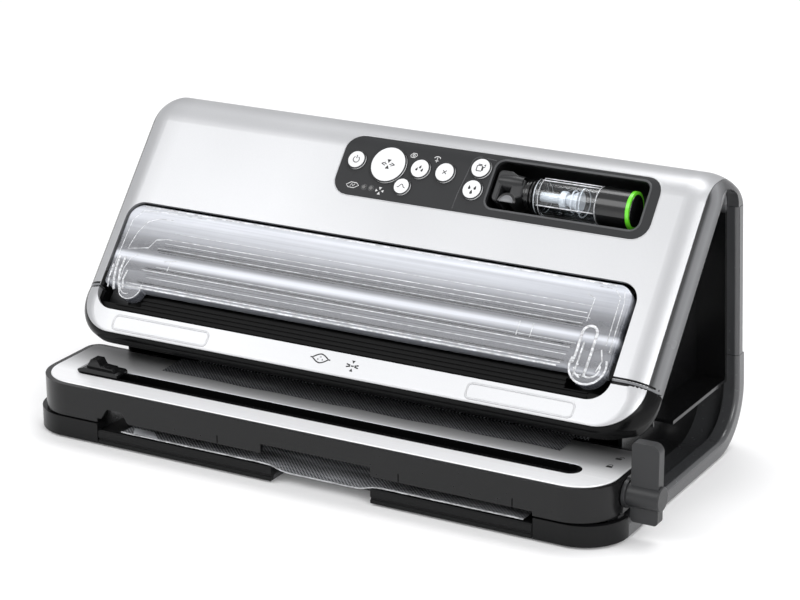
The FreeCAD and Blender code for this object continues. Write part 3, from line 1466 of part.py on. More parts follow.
def chassis_plate():
    """Plate with a rim that carries the pump, its motor and the transformer on the back."""
    inside = crown_solid(d.wall.number + 0.05, -5, d.rear_step.number, half.number)
    left, right = d.chassis_left.number, d.chassis_right.number
    low, high = d.chassis_low.number, d.chassis_high.number
    front = d.chassis_front.number
    rim = d.wall.number
    plate = inside.common(crown_zone(left, right, front, 200, low, high))
    pocket = crown_zone(left + rim, right - rim, front + rim, 200, low + rim, high - rim)
    return plate.cut(pocket)


def vacuum_pump():
    body = new_body("vacuum_pump")
    front, rear = d.chassis_front - 38, d.chassis_front
    low, high = d.chassis_low + 8, d.chassis_high - 8
    x0 = d.chassis_left + 12
    x1 = x0 + 50
    pad(body, "XY_Plane", [box_outline(x0, x1, front, rear)], low, high)
    soften(body, 5, "z", [(x0, front), (x1, front)])
    middle = (x0 + x1) / 2
    pad(body, "XY_Plane", [("circle", middle, d.hose_y, 5)], low - 6, low + 2)
    for step in range(4):
        level = low + 5 + step * 8
        cut(body, "XY_Plane", [box_outline(x0 + 6, x1 - 6, front - 1, front + 2)], level, level + 3)
    return body


def pump_motor():
    body = new_body("pump_motor")
    x0 = d.chassis_left + 62
    middle = (d.chassis_low + d.chassis_high) / 2
    axis_y = d.chassis_front - 17
    rod(body, x0, x0 + 6, axis_y, middle, 9)
    rod(body, x0 + 6, x0 + 54, axis_y, middle, 17)
    rod(body, x0 + 54, x0 + 60, axis_y, middle, 6)
    soften_face(body, 3, x0 + 54, "x")
    return body


def transformer():
    body = new_body("transformer")
    x1 = d.chassis_right - 12
    rear = d.chassis_front
    middle = (d.chassis_low + d.chassis_high) / 2
    pad(body, "XY_Plane", [box_outline(x1 - 54, x1, rear - 30, rear)], middle - 20, middle + 20)
    pad(body, "XY_Plane", [box_outline(x1 - 42, x1 - 12, rear - 42, rear + 0)], middle - 13,
        middle + 13)
    soften(body, 4, "z", [(x1 - 42, rear - 42), (x1 - 12, rear - 42)])
    return body


def vacuum_hose():
    """Hose from the chamber floor round to the pump, straight runs with tangent arcs."""
    x = d.chassis_left.number + 37
    radius = 3.0
    start = slope_point(58, -d.chamber_depth.number)
    leave = slope_point(58, -d.chamber_depth.number - 17)
    under = (d.hose_y.number, leave[1])
    end = (d.hose_y.number, d.chassis_low.number + 2)
    stops = [Vector(x, *place) for place in (start, leave, under, end)]
    wire = rounded_path(stops)
    tangent = stops[1] - stops[0]
    section = Part.Wire(Part.makeCircle(radius, stops[0], tangent))
    return Part.Wire(wire).makePipeShell([section], True, True)


def rounded_path(stops):
    """Straight runs joined by tangent arcs, each as large as its two runs allow."""
    edges = []
    here = stops[0]
    for before, corner, after in zip(stops, stops[1:], stops[2:]):
        back = (before - corner).normalize()
        ahead = (after - corner).normalize()
        reach = 0.45 * min(corner.distanceToPoint(before), corner.distanceToPoint(after))
        enter, leave = corner + back * reach, corner + ahead * reach
        half_turn = (math.pi - back.getAngle(ahead)) / 2
        bend = reach / math.tan(half_turn)
        inward = (back + ahead).normalize()
        centre = corner + inward * (bend / math.cos(half_turn))
        middle = centre - inward * bend
        edges += [Part.makeLine(here, enter), Part.Arc(enter, middle, leave).toShape()]
        here = leave
    edges.append(Part.makeLine(here, stops[-1]))
    return edges


def power_inlet():
    """Socket in the back above the floor seam."""
    body = new_body("power_inlet")
    z = d.inlet_z
    y = Dim(rear_y(d.inlet_z.number))
    x = d.inlet_x
    pad(body, "XY_Plane", [box_outline(x - 14, x + 14, y - 16, y + 0.4)], z - 10, z + 10)
    cut(body, "XY_Plane", [box_outline(x - 9, x + 9, y - 12, y + 1)], z - 6, z + 6)
    for sign in (-1, 1):
        px = x + sign * 4
        pad(body, "XY_Plane", [box_outline(px - 1, px + 1, y - 13, y - 3)], z - 1.5, z + 1.5)
    return body


def screw_places():
    x = d.body_width / 2 - 43
    return [(-x, d.roll_y), (x * -0.38, d.roll_y), (x * 0.38, d.roll_y), (x, d.roll_y)]


def housing_screws():
    """Screws in the floor of the base."""
    body = new_body("housing_screws")
    head = d.base_bottom - 0.7
    for x, y in screw_places():
        pad(body, "XY_Plane", [("circle", x, y, d.screw_radius + 1.5)], head, d.base_bottom)
        pad(body, "XY_Plane", [("circle", x, y, d.screw_radius)], head, floor_top - 0.5)
    return body


# ---------------------------------------------------------------- assembly

def build():
    crown_blank = round_crown(
        crown_solid(0, 0, d.rear_step.number - 12, half.number),
        d.side_round.number, d.rear_round.number)
    silver, bezels, back = housing_pieces(crown_blank)
    trim, chin = nose_pieces()
    sculpted("front_shell", silver)
    sculpted("side_bezel_left", bezels[0])
    sculpted("side_bezel_right", bezels[1])
    sculpted("rear_shell", back)
    sculpted("nose_trim", trim)
    sculpted("chin_cover", chin)
    sculpted("side_panel_left", side_panel(-1, chin))
    sculpted("side_panel_right", side_panel(1, chin))
    board_top = circuit_board().number
    sculpted("control_panel", control_panel(crown_blank, board_top))
    sculpted("dock_tray", dock_tray())
    sculpted("chassis_plate", chassis_plate())
    sculpted("vacuum_hose", vacuum_hose())
    base_tray()
    base_corner("base_corner_left", -1, shelf_left)
    base_corner("base_corner_right", 1, shelf_right)
    film_shelf("film_shelf_left", shelf_left + d.seam, d.grip_left)
    film_shelf("film_shelf_right", d.grip_right, shelf_right - d.seam)
    feet()
    film_guide()
    roll_cradle()
    film_roll_pieces()
    film_web()
    platform_body()
    platform_plate()
    cutter_track()
    cutter_slider()
    cutter_blade()
    lever()
    lever_shaft()
    platform_pins()
    for name, x, s, radius in BUTTONS:
        push_button(name)
    handheld_pieces()
    chamber_tray()
    window_lid()
    lid_pins()
    chamber_gaskets()
    pressure_bar()
    sealing_strip()
    drip_tray()
    vacuum_pump()
    pump_motor()
    transformer()
    power_inlet()
    housing_screws()


def pieces():
    return [item for item in doc.Objects if item.TypeId in ("PartDesign::Body", "Part::Feature")]


def check_and_write():
    doc.recompute()
    for item in doc.Objects:
        if "Invalid" in item.State or "Error" in item.State:
            raise ValueError(f"{item.Label} of {item.Name} failed: {item.State}")
    for item in pieces():
        if item.Shape.isNull() or not item.Shape.isValid() or not item.Shape.Solids:
            raise ValueError(f"{item.Label} has no valid solid")
    os.makedirs("parts", exist_ok=True)
    for item in pieces():
        item.Shape.exportStep(f"parts/{item.Label}.step")


build()
check_and_write()
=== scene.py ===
"""The looks of a countertop vacuum sealer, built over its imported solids."""

import math

import bmesh
import bpy
import numpy as np
from mathutils import Matrix, Vector


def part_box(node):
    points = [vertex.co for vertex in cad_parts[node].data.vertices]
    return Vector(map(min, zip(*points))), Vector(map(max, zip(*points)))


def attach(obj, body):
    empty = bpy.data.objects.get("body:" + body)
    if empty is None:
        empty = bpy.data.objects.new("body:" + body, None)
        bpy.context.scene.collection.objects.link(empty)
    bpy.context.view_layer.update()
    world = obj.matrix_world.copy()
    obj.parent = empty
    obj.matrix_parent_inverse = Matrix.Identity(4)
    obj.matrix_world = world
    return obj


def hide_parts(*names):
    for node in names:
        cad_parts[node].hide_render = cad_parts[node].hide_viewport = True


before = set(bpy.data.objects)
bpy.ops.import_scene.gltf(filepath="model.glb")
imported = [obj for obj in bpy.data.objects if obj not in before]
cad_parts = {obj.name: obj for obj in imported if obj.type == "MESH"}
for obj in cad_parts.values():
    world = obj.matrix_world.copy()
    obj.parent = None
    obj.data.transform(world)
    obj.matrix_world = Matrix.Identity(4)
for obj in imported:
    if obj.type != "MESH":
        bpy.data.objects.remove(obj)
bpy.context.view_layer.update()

MM = 0.001
body_low, body_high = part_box("base_tray")
MIDDLE = (body_low.x + body_high.x) / 2 / MM
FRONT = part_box("platform_body")[0].y / MM

# The sloping front: its tilt, its origin, and where that origin lies along it and into it.
SLOPE = math.radians(49.8)
SLOPE_Y = FRONT + 54.6
SLOPE_Z = 69.5
UP_ALONG = (0, math.cos(SLOPE), math.sin(SLOPE))
INTO_SLOPE = (0, math.sin(SLOPE), -math.cos(SLOPE))
SLOPE_FOOT = SLOPE_Y * math.cos(SLOPE) + SLOPE_Z * math.sin(SLOPE)
SLOPE_FACE = SLOPE_Y * math.sin(SLOPE) - SLOPE_Z * math.cos(SLOPE)

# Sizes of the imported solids, in millimetres: x right of the middle, y behind the front face, z up,
# s up the slope and n out of it. The side's rounding starts at an x and the ridge's at an s.
HALF_WIDTH = 203.0
SIDE_START, SIDE_ROUND = 183, 20
RIDGE_START, RIDGE_ROUND = 134.2, 27
TRIM_SEAM = 14.9
PLATE_TOP = 36.9
LEVER_X, LEVER_Y, LEVER_Z = 221.9, 32, 27.3
LEFT_LUG, RIGHT_LUG = (-164, 16.5), (157.5, 20)
HANDHELD_S, HANDHELD_N = 124.5, -9.5
FILM_WIDTH, FILM_MIDDLE = 279.4, 9.3

# Each button's place (x, s) and the radius of its face, and how far the faces stand out.
BUTTONS = {"power": (-37, 126.4, 6.4), "vacuum_seal": (-14, 126.2, 12.4),
           "seal": (0, 113.2, 5.8), "moist": (8.4, 126.6, 6.8), "cancel": (25.8, 126.6, 6.9),
           "accessory": (48.8, 133, 6.9), "marinate": (47.6, 118.2, 6.8)}
BUTTON_TOP = 1.22


# ---- places ----

def at(x, y, z):
    """Frame point of x mm right of the middle, y mm behind the front face and z mm up."""
    x, y, z = np.broadcast_arrays(x, y, z)
    return np.stack([MIDDLE + x, FRONT + y, z], -1) * MM


def on_slope(x, s, n):
    """Frame point of x mm right of the middle, s mm up the sloping front and n mm out of it."""
    x, s, n = np.broadcast_arrays(x, s, n)
    y = SLOPE_Y + s * math.cos(SLOPE) - n * math.sin(SLOPE)
    z = SLOPE_Z + s * math.sin(SLOPE) + n * math.cos(SLOPE)
    return np.stack([MIDDLE + x, y, z], -1) * MM


# ---- materials ----

class Value:
    """An output of a node. Sums, differences, products and quotients of it add Math nodes."""

    def __init__(self, finish, socket):
        self.finish = finish
        self.socket = socket

    def maths(self, operation, *terms):
        """A Math node of that operation on values or numbers."""
        return self.finish.node("Math", {"operation": operation}, dict(enumerate(terms)))

    def __add__(self, other):
        return self.maths("ADD", self, other)

    def __radd__(self, other):
        return self.maths("ADD", other, self)

    def __sub__(self, other):
        return self.maths("SUBTRACT", self, other)

    def __rsub__(self, other):
        return self.maths("SUBTRACT", other, self)

    def __mul__(self, other):
        return self.maths("MULTIPLY", self, other)

    def __rmul__(self, other):
        return self.maths("MULTIPLY", other, self)

    def __truediv__(self, other):
        return self.maths("DIVIDE", self, other)

    def larger(self, other):
        """The larger of this value and another."""
        return self.maths("MAXIMUM", self, other)


class Finish:
    """A procedural material, with the few node patterns that the pieces share."""

    def __init__(self, name):
        self.material = bpy.data.materials.new(name)
        self.material.use_nodes = True
        self.tree = self.material.node_tree
        self.tree.nodes.clear()
        self.place = self.node("TexCoord", out="Object")

    def node(self, kind, settings=None, values=None, out=0):
        """A node of that kind. Its settings are made first, then its inputs filled or linked."""
        made = self.tree.nodes.new("ShaderNode" + kind)
        for key, setting in (settings or {}).items():
            if key == "stops":
                self.stops(made.color_ramp, setting)
            else:
                setattr(made, key, setting)
        for key, value in (values or {}).items():
            if isinstance(value, Value):
                self.tree.links.new(value.socket, made.inputs[key])
            else:
                made.inputs[key].default_value = value
        return Value(self, made.outputs[out]) if made.outputs else None

    def stops(self, ramp, stops):
        """Grey stops of a ramp, each a place and a shade."""
        while len(ramp.elements) < len(stops):
            ramp.elements.new(0.5)
        for element, (place, shade) in zip(ramp.elements, stops):
            element.position = place
            element.color = (shade, shade, shade, 1)

    def stretched(self, x, y, z, turn=(0, 0, 0)):
        """Object coordinates turned, then scaled, in cycles per metre."""
        turned = self.node("Mapping", values={"Vector": self.place, "Rotation": turn})
        return self.node("Mapping", values={"Vector": turned, "Scale": (x, y, z)})

    def along(self, direction, start):
        """Millimetres along a direction, from start."""
        settings = {"operation": "DOT_PRODUCT"}
        length = self.node("VectorMath", settings, {0: self.place, 1: direction}, out="Value")
        return (length - start * MM) / MM

    def inside_slope(self):
        """Millimetres from the sloping front into the housing."""
        return self.along(INTO_SLOPE, SLOPE_FACE)

    def noise(self, scale, detail=2.0, roughness=0.5, place=None):
        """Noise of 0 to 1, in cycles per metre or on a stretched place."""
        values = {"Vector": place or self.place, "Scale": scale, "Detail": detail,
                  "Roughness": roughness}
        return self.node("TexNoise", values=values, out="Fac")

    def ramp(self, fac, *stops):
        """A grey that follows fac through its stops."""
        return self.node("ValToRGB", {"stops": stops}, {"Fac": fac})

    def fade(self, place, start, end, *stops):
        """A grey whose stops run from 0 at start to 1 at end, in millimetres along a place."""
        return self.ramp((place - start) / (end - start), *stops)

    def blend(self, fac, first, second):
        """A colour between two colours."""
        settings = {"data_type": "RGBA"}
        return self.node("Mix", settings, {0: fac, 6: first, 7: second}, out=2)

    def bump(self, height, depth, strength=1.0, under=None):
        """A normal from a height of 0 to 1 that stands depth metres high."""
        values = {"Height": height, "Distance": depth, "Strength": strength}
        if under:
            values["Normal"] = under
        return self.node("Bump", values=values, out="Normal")

    def surface(self, **sockets):
        """A Principled surface. Its sockets are named with _ for a space."""
        values = {name.replace("_", " "): value for name, value in sockets.items()}
        return self.node("BsdfPrincipled", values=values)

    def done(self, shader):
        """The finished material, with its shader on the output."""
        self.node("OutputMaterial", values={"Surface": shader})
        return self.material


def grey(level, blue=0.0):
    """A neutral colour, a little bluer where blue is above 0."""
    return (level * (1 - blue / 2), level, level * (1 + blue), 1)


def silver_paint():
    """Satin silver lacquer over moulded plastic: fine flakes and soft clouds.

    Painted shade darkens it over the ridge, round the left side, and a little in the middle of the
    slope."""
    f = Finish("silver_paint")
    flakes = f.noise(2600, 1, 0.4)
    clouds = f.noise(9, 2)
    shade = f.ramp(flakes * 0.5 + clouds * 0.5, (0.35, 0.0), (0.65, 1.0))
    colour = f.blend(shade, grey(0.53, 0.02), grey(0.58, 0.02))
    up = f.along(UP_ALONG, SLOPE_FOOT)
    left = f.along((-1, 0, 0), -MIDDLE)
    # painted shade: darker over the ridge, round the left side and in the middle of the slope
    ridge = f.fade(up, 0, 160, (0.60, 0.0), (0.86, 0.0), (0.92, 0.08), (0.98, 0.34))
    side = f.fade(left, 0, HALF_WIDTH, (0.84, 0.0), (0.97, 0.30))
    middle = f.fade(left, -160, 100, (0.0, 0.05), (0.25, 0.14), (0.62, 0.15), (0.95, 0.0))
    colour = f.blend(ridge + side + middle, colour, grey(0.16, 0.03))
    return f.done(f.surface(
        Base_Color=colour, Metallic=0.55, Roughness=0.34 + 0.08 * flakes,
        Normal=f.bump(flakes, 0.00002, 0.35)))


def brushed_plate():
    """Brushed aluminium: hair lines along X. Painted shade darkens it towards the throat behind it,
    for the nose's shadow and the dark film's reflection.
    """
    f = Finish("brushed_plate")
    lines = f.noise(1, 5, 0.6, f.stretched(14, 3800, 3800))
    patches = f.noise(14, 2)
    shade = f.ramp(lines, (0.3, 0.0), (0.7, 1.0))
    shade = f.blend(shade, grey(0.84, 0.01), grey(0.94, 0.01))
    # painted shadow and painted reflection: the plate darkens towards the throat under the nose
    depth = f.along((0, 1, 0), FRONT)
    shadow = f.fade(depth, 0, 75, (0.30, 0.0), (0.46, 0.30), (0.66, 0.66), (0.84, 0.93))
    colour = f.blend(shadow, shade, grey(0.06, 0.02))
    return f.done(f.surface(
        Base_Color=colour, Metallic=0.35, Roughness=0.26 + 0.14 * lines + 0.04 * patches,
        Normal=f.bump(lines, 0.00002, 0.5)))


def moulded(name, level, roughness, grain, blue=0.05, coat=0.0, gloss=0.32):
    """Moulded plastic: fine spark-eroded grain, flow clouds and a trace of dust."""
    f = Finish(name)
    spark = f.noise(1900, 3, 0.6)
    flow = f.noise(22, 3, 0.55)
    dust = f.ramp(f.noise(260, 4, 0.7), (0.62, 0.0), (0.78, 1.0))
    colour = f.blend(flow, grey(level * 0.85, blue), grey(level * 1.15, blue))
    colour = f.blend(dust * 0.02, colour, grey(level + 0.08, blue))
    rough = roughness - 0.03 + 0.08 * flow + 0.08 * dust
    return f.done(f.surface(
        Base_Color=colour, Roughness=rough, Coat_Weight=coat, Coat_Roughness=0.1,
        Specular_IOR_Level=gloss, Normal=f.bump(spark, grain, 0.5)))


def clear_plastic(name, tint, roughness):
    """Clear moulded plastic that lets the lamps through, with flow lines and fine scratches."""
    f = Finish(name)
    flow = f.noise(1, 3, 0.5, f.stretched(7, 60, 60))
    scratch = f.ramp(f.noise(1, 2, 0.5, f.stretched(40, 1400, 1400)), (0.60, 0.0), (0.75, 1.0))
    glass = f.surface(
        Base_Color=tint, Roughness=roughness + 0.02 * flow + 0.05 * scratch, IOR=1.47,
        Transmission_Weight=1.0, Normal=f.bump(flow, 0.0004, 0.25))
    through = f.node("BsdfTransparent", values={"Color": tint})
    shadow = f.node("LightPath", out="Is Shadow Ray")
    return f.done(f.node("MixShader", values={0: shadow, 1: glass, 2: through}))


def lid_plastic():
    """Clear lid moulding with flow streaks along X. Its light and dark bands along X are painted
    highlights and painted shade, in its colour and its alpha.
    """
    f = Finish("lid_plastic")
    up = f.along(UP_ALONG, SLOPE_FOOT)
    wide = f.noise(1, 2, 0.5, f.stretched(1.2, 95, 80))
    fine = f.noise(1, 3, 0.6, f.stretched(3.5, 520, 440))
    patches = f.noise(1, 3, 0.6, f.stretched(26, 60, 50))
    # painted highlights and painted shade: light and dark bands up the lid
    painted_light_bands = f.fade(up, 0, 80, (0.05, 0.05), (0.18, 0.12), (0.20, 0.50), (0.25, 0.10),
                   (0.34, 0.20), (0.38, 0.08), (0.42, 0.20), (0.46, 0.85), (0.485, 0.75),
                   (0.51, 0.20), (0.56, 0.08), (0.64, 0.20), (0.72, 0.50), (0.86, 0.80),
                   (0.90, 0.62))
    tone = painted_light_bands * (0.20 + 0.66 * wide + 0.70 * fine)
    colour = f.blend(tone, (0.025, 0.028, 0.040, 1), (0.80, 0.83, 0.90, 1))
    # the alpha follows the painted light bands too
    cover = f.ramp(tone * 0.7 + patches * 0.3, (0.08, 0.72), (0.80, 0.94))
    return f.done(f.surface(
        Base_Color=colour, Roughness=0.10 + 0.10 * fine, Alpha=cover, Coat_Weight=0.6,
        Coat_Roughness=0.04, Normal=f.bump(wide + patches * 0.5, 0.0012, 0.30)))


def side_ribbon():
    """Satin ribbon: a dark outer strip beside the silver and a lighter strip along the recess, a
    painted highlight.
    """
    f = Finish("side_ribbon")
    spark = f.noise(1900, 3, 0.6)
    flow = f.noise(22, 3, 0.55)
    # painted highlight: the strip along the recess is painted lighter
    painted_highlight_strip = f.fade(f.inside_slope(), 0, 20, (0.28, 0.0), (0.36, 0.75), (0.52, 1.0),
                   (0.68, 0.55), (0.90, 0.20))
    colour = f.blend(painted_highlight_strip * (0.85 + 0.30 * flow), grey(0.020, 0.05), grey(0.20, 0.03))
    return f.done(f.surface(
        Base_Color=colour, Roughness=0.22 + 0.08 * flow, Coat_Weight=0.25, Coat_Roughness=0.1,
        Specular_IOR_Level=0.5, Normal=f.bump(spark, 0.00002, 0.5)))


def side_recess():
    """Glossy black recess whose convex band along the slope and over the top is painted a lighter
    grey, a painted highlight.
    """
    f = Finish("side_recess")
    spark = f.noise(1900, 3, 0.6)
    flow = f.noise(22, 3, 0.55)
    # painted highlight: lighter along the slope's convex band and over the top
    painted_highlight_band = f.fade(f.inside_slope(), 40, 0, (0.30, 0.0), (0.46, 0.35), (0.60, 1.0))
    top = f.fade(f.along((0, 0, 1), 0), 0, 200, (0.77, 0.0), (0.80, 1.0))
    painted_highlight_band = painted_highlight_band.larger(top)
    colour = f.blend(painted_highlight_band * (0.80 + 0.40 * flow), grey(0.005, 0.05), grey(0.17, 0.03))
    return f.done(f.surface(
        Base_Color=colour, Roughness=0.14 + 0.06 * flow + 0.12 * painted_highlight_band, Coat_Weight=0.1,
        Coat_Roughness=0.1, Specular_IOR_Level=0.3, Normal=f.bump(spark, 0.00001, 0.5)))


def soft_rubber():
    """Matt rubber with a dry, cloudy surface."""
    f = Finish("soft_rubber")
    grain = f.noise(1300, 4, 0.7)
    cloud = f.noise(60, 3)
    colour = f.blend(cloud, grey(0.012), grey(0.028))
    return f.done(f.surface(
        Base_Color=colour, Roughness=0.62 + 0.2 * cloud, Specular_IOR_Level=0.3,
        Normal=f.bump(grain, 0.00006, 0.6)))


def bright_metal(name, level, roughness):
    """Drawn metal: streaks along X under a bright polish."""
    f = Finish(name)
    streak = f.noise(1, 4, 0.6, f.stretched(20, 2400, 2400))
    colour = f.blend(streak, grey(level * 0.88), grey(level))
    return f.done(f.surface(
        Base_Color=colour, Metallic=1.0, Roughness=roughness + 0.12 * streak,
        Normal=f.bump(streak, 0.00002, 0.4)))


def kraft_board():
    """Wound cardboard: fibres and a spiral seam."""
    f = Finish("kraft_board")
    fibre = f.noise(1, 5, 0.65, f.stretched(300, 1500, 1500))
    wound = f.node("TexWave", {"wave_type": "BANDS", "bands_direction": "X"},
                   {"Vector": f.place, "Scale": 9.0, "Distortion": 1.5}, out="Fac")
    colour = f.blend(fibre, (0.36, 0.25, 0.15, 1), (0.55, 0.42, 0.28, 1))
    colour = f.blend(f.ramp(wound, (0.92, 0.0), (1.0, 0.7)), colour, (0.25, 0.17, 0.1, 1))
    return f.done(f.surface(
        Base_Color=colour, Roughness=0.8 + 0.1 * fibre, Normal=f.bump(fibre, 0.00008, 0.6)))


def board_green():
    """Solder mask with the shapes of tracks under it."""
    f = Finish("board_green")
    tracks = f.node("TexBrick", values={"Vector": f.stretched(260, 260, 260), "Scale": 1.0,
                                        "Mortar Size": 0.06}, out="Fac")
    weave = f.noise(900, 3)
    colour = f.blend(tracks, (0.012, 0.13, 0.05, 1), (0.04, 0.27, 0.11, 1))
    return f.done(f.surface(
        Base_Color=colour, Roughness=0.3 + 0.15 * weave, Normal=f.bump(tracks, 0.00003, 0.5)))


def embossed_film(name, painted_light_share):
    """Vacuum film: two layers with pressed diamonds whose ridges and creases get a painted
    highlight; its strength is the given share, and a small share also darkens the whole film as
    painted shade.
    """
    f = Finish(name)

    def lines(turn):
        place = f.stretched(1, 1, 1, (0, 0, turn))
        return f.node("TexWave", {"wave_type": "BANDS", "bands_direction": "X"},
                      {"Vector": place, "Scale": 185.0}, out="Fac")

    ridge = lines(math.radians(45)).larger(lines(math.radians(-45)))
    ridge = f.ramp(ridge, (0.70, 0.0), (0.97, 1.0))
    crease = f.ramp(f.noise(1, 4, 0.6, f.stretched(28, 130, 130)), (0.50, 0.0), (0.78, 1.0))
    # painted highlight on the diamonds' ridges and creases; a small share darkens the film as
    # painted shade
    light = (ridge + crease * 0.45) * painted_light_share
    colour = f.blend(light, grey(0.09 * painted_light_share, 0.06), grey(0.80, 0.05))
    height = ridge * 0.3 + crease
    return f.done(f.surface(
        Base_Color=colour, Roughness=0.24 + 0.12 * ridge, Specular_IOR_Level=0.45,
        Normal=f.bump(height, 0.0005, 0.5)))


def highlight_streaks(name, level):
    """A light grey, paler along random crease streaks, for painted highlights on film and clear
    plastic.
    """
    f = Finish(name)
    crease = f.noise(1, 4, 0.7, f.stretched(260, 700, 700))
    streak = f.ramp(crease, (0.40, 0.0), (0.62, 1.0))
    colour = f.blend(streak, grey(level * 0.45, 0.03), grey(level, 0.03))
    return f.done(f.surface(
        Base_Color=colour, Roughness=0.22 + 0.2 * crease, Normal=f.bump(crease, 0.0003, 0.6)))


def light_lens():
    """A small dark light lens, unlit."""
    f = Finish("light_lens")
    cloud = f.noise(500, 2)
    shade = f.blend(cloud, (0.0150, 0.0135, 0.0135, 1), (0.020, 0.018, 0.018, 1))
    return f.done(f.surface(
        Base_Color=shade, Roughness=0.18 + 0.1 * cloud, Coat_Weight=0.5))


def printed(name, level):
    """Pad printing: thin, slightly uneven ink."""
    f = Finish(name)
    wear = f.noise(900, 4, 0.7)
    colour = f.blend(f.ramp(wear, (0.25, 0.0), (0.5, 1.0)), grey(level * 0.8), grey(level))
    return f.done(f.surface(Base_Color=colour, Roughness=0.45 + 0.15 * wear))


def ring_with_painted_glow():
    """Glossy moulded plastic in leaf green, with a painted glow: it emits its own colour though it
    is no lamp.
    """
    f = Finish("ring_green")
    flow = f.noise(120, 3)
    colour = f.blend(flow, (0.10, 0.55, 0.015, 1), (0.18, 0.74, 0.04, 1))
    return f.done(f.surface(
        Base_Color=colour, Roughness=0.25 + 0.1 * flow, Coat_Weight=0.3,
        # painted glow: a faint emission of the ring's own colour
        Emission_Color=colour, Emission_Strength=0.12,
        Normal=f.bump(f.noise(1500, 3), 0.00002, 0.4)))


silver = silver_paint()
plate_metal = brushed_plate()
ribbon_grey = moulded("ribbon_grey", 0.050, 0.24, 0.00002, coat=0.25, gloss=0.6)
base_black = moulded("base_black", 0.005, 0.30, 0.00003, gloss=0.18)
deck_black = moulded("deck_black", 0.006, 0.24, 0.00002, coat=0.03, gloss=0.28)
recess_black = moulded("recess_black", 0.006, 0.14, 0.00001, coat=0.1, gloss=0.3)
chin_black = moulded("chin_black", 0.003, 0.24, 0.00002, gloss=0.14)
recess_sides = side_recess()
ribbon_strips = side_ribbon()
panel_grey = moulded("panel_grey", 0.026, 0.42, 0.00002, gloss=0.18)
dock_black = moulded("dock_black", 0.006, 0.30, 0.00002, gloss=0.25)
inner_black = moulded("inner_black", 0.003, 0.42, 0.00004, gloss=0.10)
lever_grey = moulded("lever_grey", 0.025, 0.34, 0.00003)
key_white = moulded("key_white", 0.74, 0.40, 0.00002, blue=0.01)
part_grey = moulded("part_grey", 0.10, 0.45, 0.00004)
valve_white = moulded("valve_white", 0.72, 0.40, 0.00003)
cap_black = moulded("cap_black", 0.007, 0.16, 0.00001, coat=0.3, gloss=0.45)
head_grey = moulded("head_grey", 0.020, 0.30, 0.00002, coat=0.1)
lid_clear = lid_plastic()
tank_clear = clear_plastic("tank_clear", (0.92, 0.95, 0.97, 1), 0.01)
# painted highlights: the light lines laid on the clear lid and reservoir
highlight_white = highlight_streaks("highlight_white_plastic", 0.86)
rubber = soft_rubber()
steel = bright_metal("steel", 0.62, 0.25)
bar_metal = bright_metal("bar_metal", 0.74, 0.14)
cardboard = kraft_board()
board = board_green()
# lit and shaded copies of the film: film_shaded is darkened by painted shade, for the painted
# reflection in the throat
film_lit_copy = embossed_film("film_embossed", 0.52)
film_shaded = embossed_film("film_shaded", 0.16)
# painted highlight: the light bead along the film's front edge
film_edge_highlight = highlight_streaks("film_edge_highlight", 0.62)
lens_dark = light_lens()
ring_green = ring_with_painted_glow()
ink_dark = printed("ink_dark", 0.012)
ink_light = printed("ink_light", 0.62)
panel_line = moulded("panel_line", 0.060, 0.34, 0.00002, gloss=0.45)
line_grey = moulded("line_grey", 0.16, 0.30, 0.00002, gloss=0.5)

FINISHES = {
    silver: ["front_shell", "nose_trim"],
    plate_metal: ["platform_plate"],
    ribbon_strips: ["side_bezel_left", "side_bezel_right"],
    ribbon_grey: ["rear_shell", "base_tray"],
    base_black: ["base_corner_left", "base_corner_right", "film_shelf_left",
                 "film_shelf_right"],
    deck_black: ["platform_body"],
    recess_black: ["cutter_slider"],
    recess_sides: ["side_panel_left", "side_panel_right"],
    chin_black: ["chin_cover", "cutter_track"],
    panel_grey: ["control_panel"],
    dock_black: ["dock_tray"],
    inner_black: ["film_guide", "roll_cradle", "chamber_tray", "chassis_plate", "vacuum_pump",
                  "power_inlet"],
    lever_grey: ["lever"],
    key_white: [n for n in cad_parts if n.startswith("button_")],
    part_grey: ["drip_tray"],
    valve_white: ["handheld_valve"],
    cap_black: ["handheld_neck", "handheld_cap"],
    head_grey: ["handheld_head"],
    lid_clear: ["window_lid"],
    tank_clear: ["handheld_reservoir"],
    rubber: ["feet", "chamber_gasket", "lid_gasket", "key_pads", "sealing_strip",
             "vacuum_hose"],
    steel: ["platform_pins", "lid_pins", "lever_shaft", "housing_screws", "cutter_blade",
            "pump_motor", "transformer"],
    bar_metal: ["pressure_bar"],
    cardboard: ["roll_core"],
    board: ["circuit_board"],
    film_lit_copy: ["film_web", "film_roll"],
    lens_dark: ["indicator_lights"],
    ring_green: ["handheld_ring"],
}
for finish, names in FINISHES.items():
    for name in names:
        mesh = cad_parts[name].data
        mesh.materials.clear()
        mesh.materials.append(finish)


# ---- shapes ----

SLOPE_OUT = np.array([0, -math.sin(SLOPE), math.cos(SLOPE)])
UPRIGHT = np.array([0, 0, 1.0])


def grid(us, vs):
    """Two parameters over a grid. Each takes its first value, its last value and its count."""
    return np.meshgrid(np.linspace(*us), np.linspace(*vs), indexing="ij")


def circle(count):
    """Angles of a whole turn, evenly spaced."""
    return np.linspace(0, 2 * np.pi, count + 1)[:-1]


def grid_mesh(name, grids):
    """One mesh of several grids of frame points, with a face between each four neighbours."""
    points, quads, start = [], [], 0
    for points_grid in grids:
        rows, columns = points_grid.shape[:2]
        index = start + np.arange(rows * columns).reshape(rows, columns)
        corners = [index[:-1, :-1], index[:-1, 1:], index[1:, 1:], index[1:, :-1]]
        quads.append(np.stack(corners, -1).reshape(-1, 4))
        points.append(points_grid.reshape(-1, 3))
        start += rows * columns
    mesh = bpy.data.meshes.new(name)
    mesh.from_pydata(np.concatenate(points).tolist(), [], np.concatenate(quads).tolist())
    return mesh


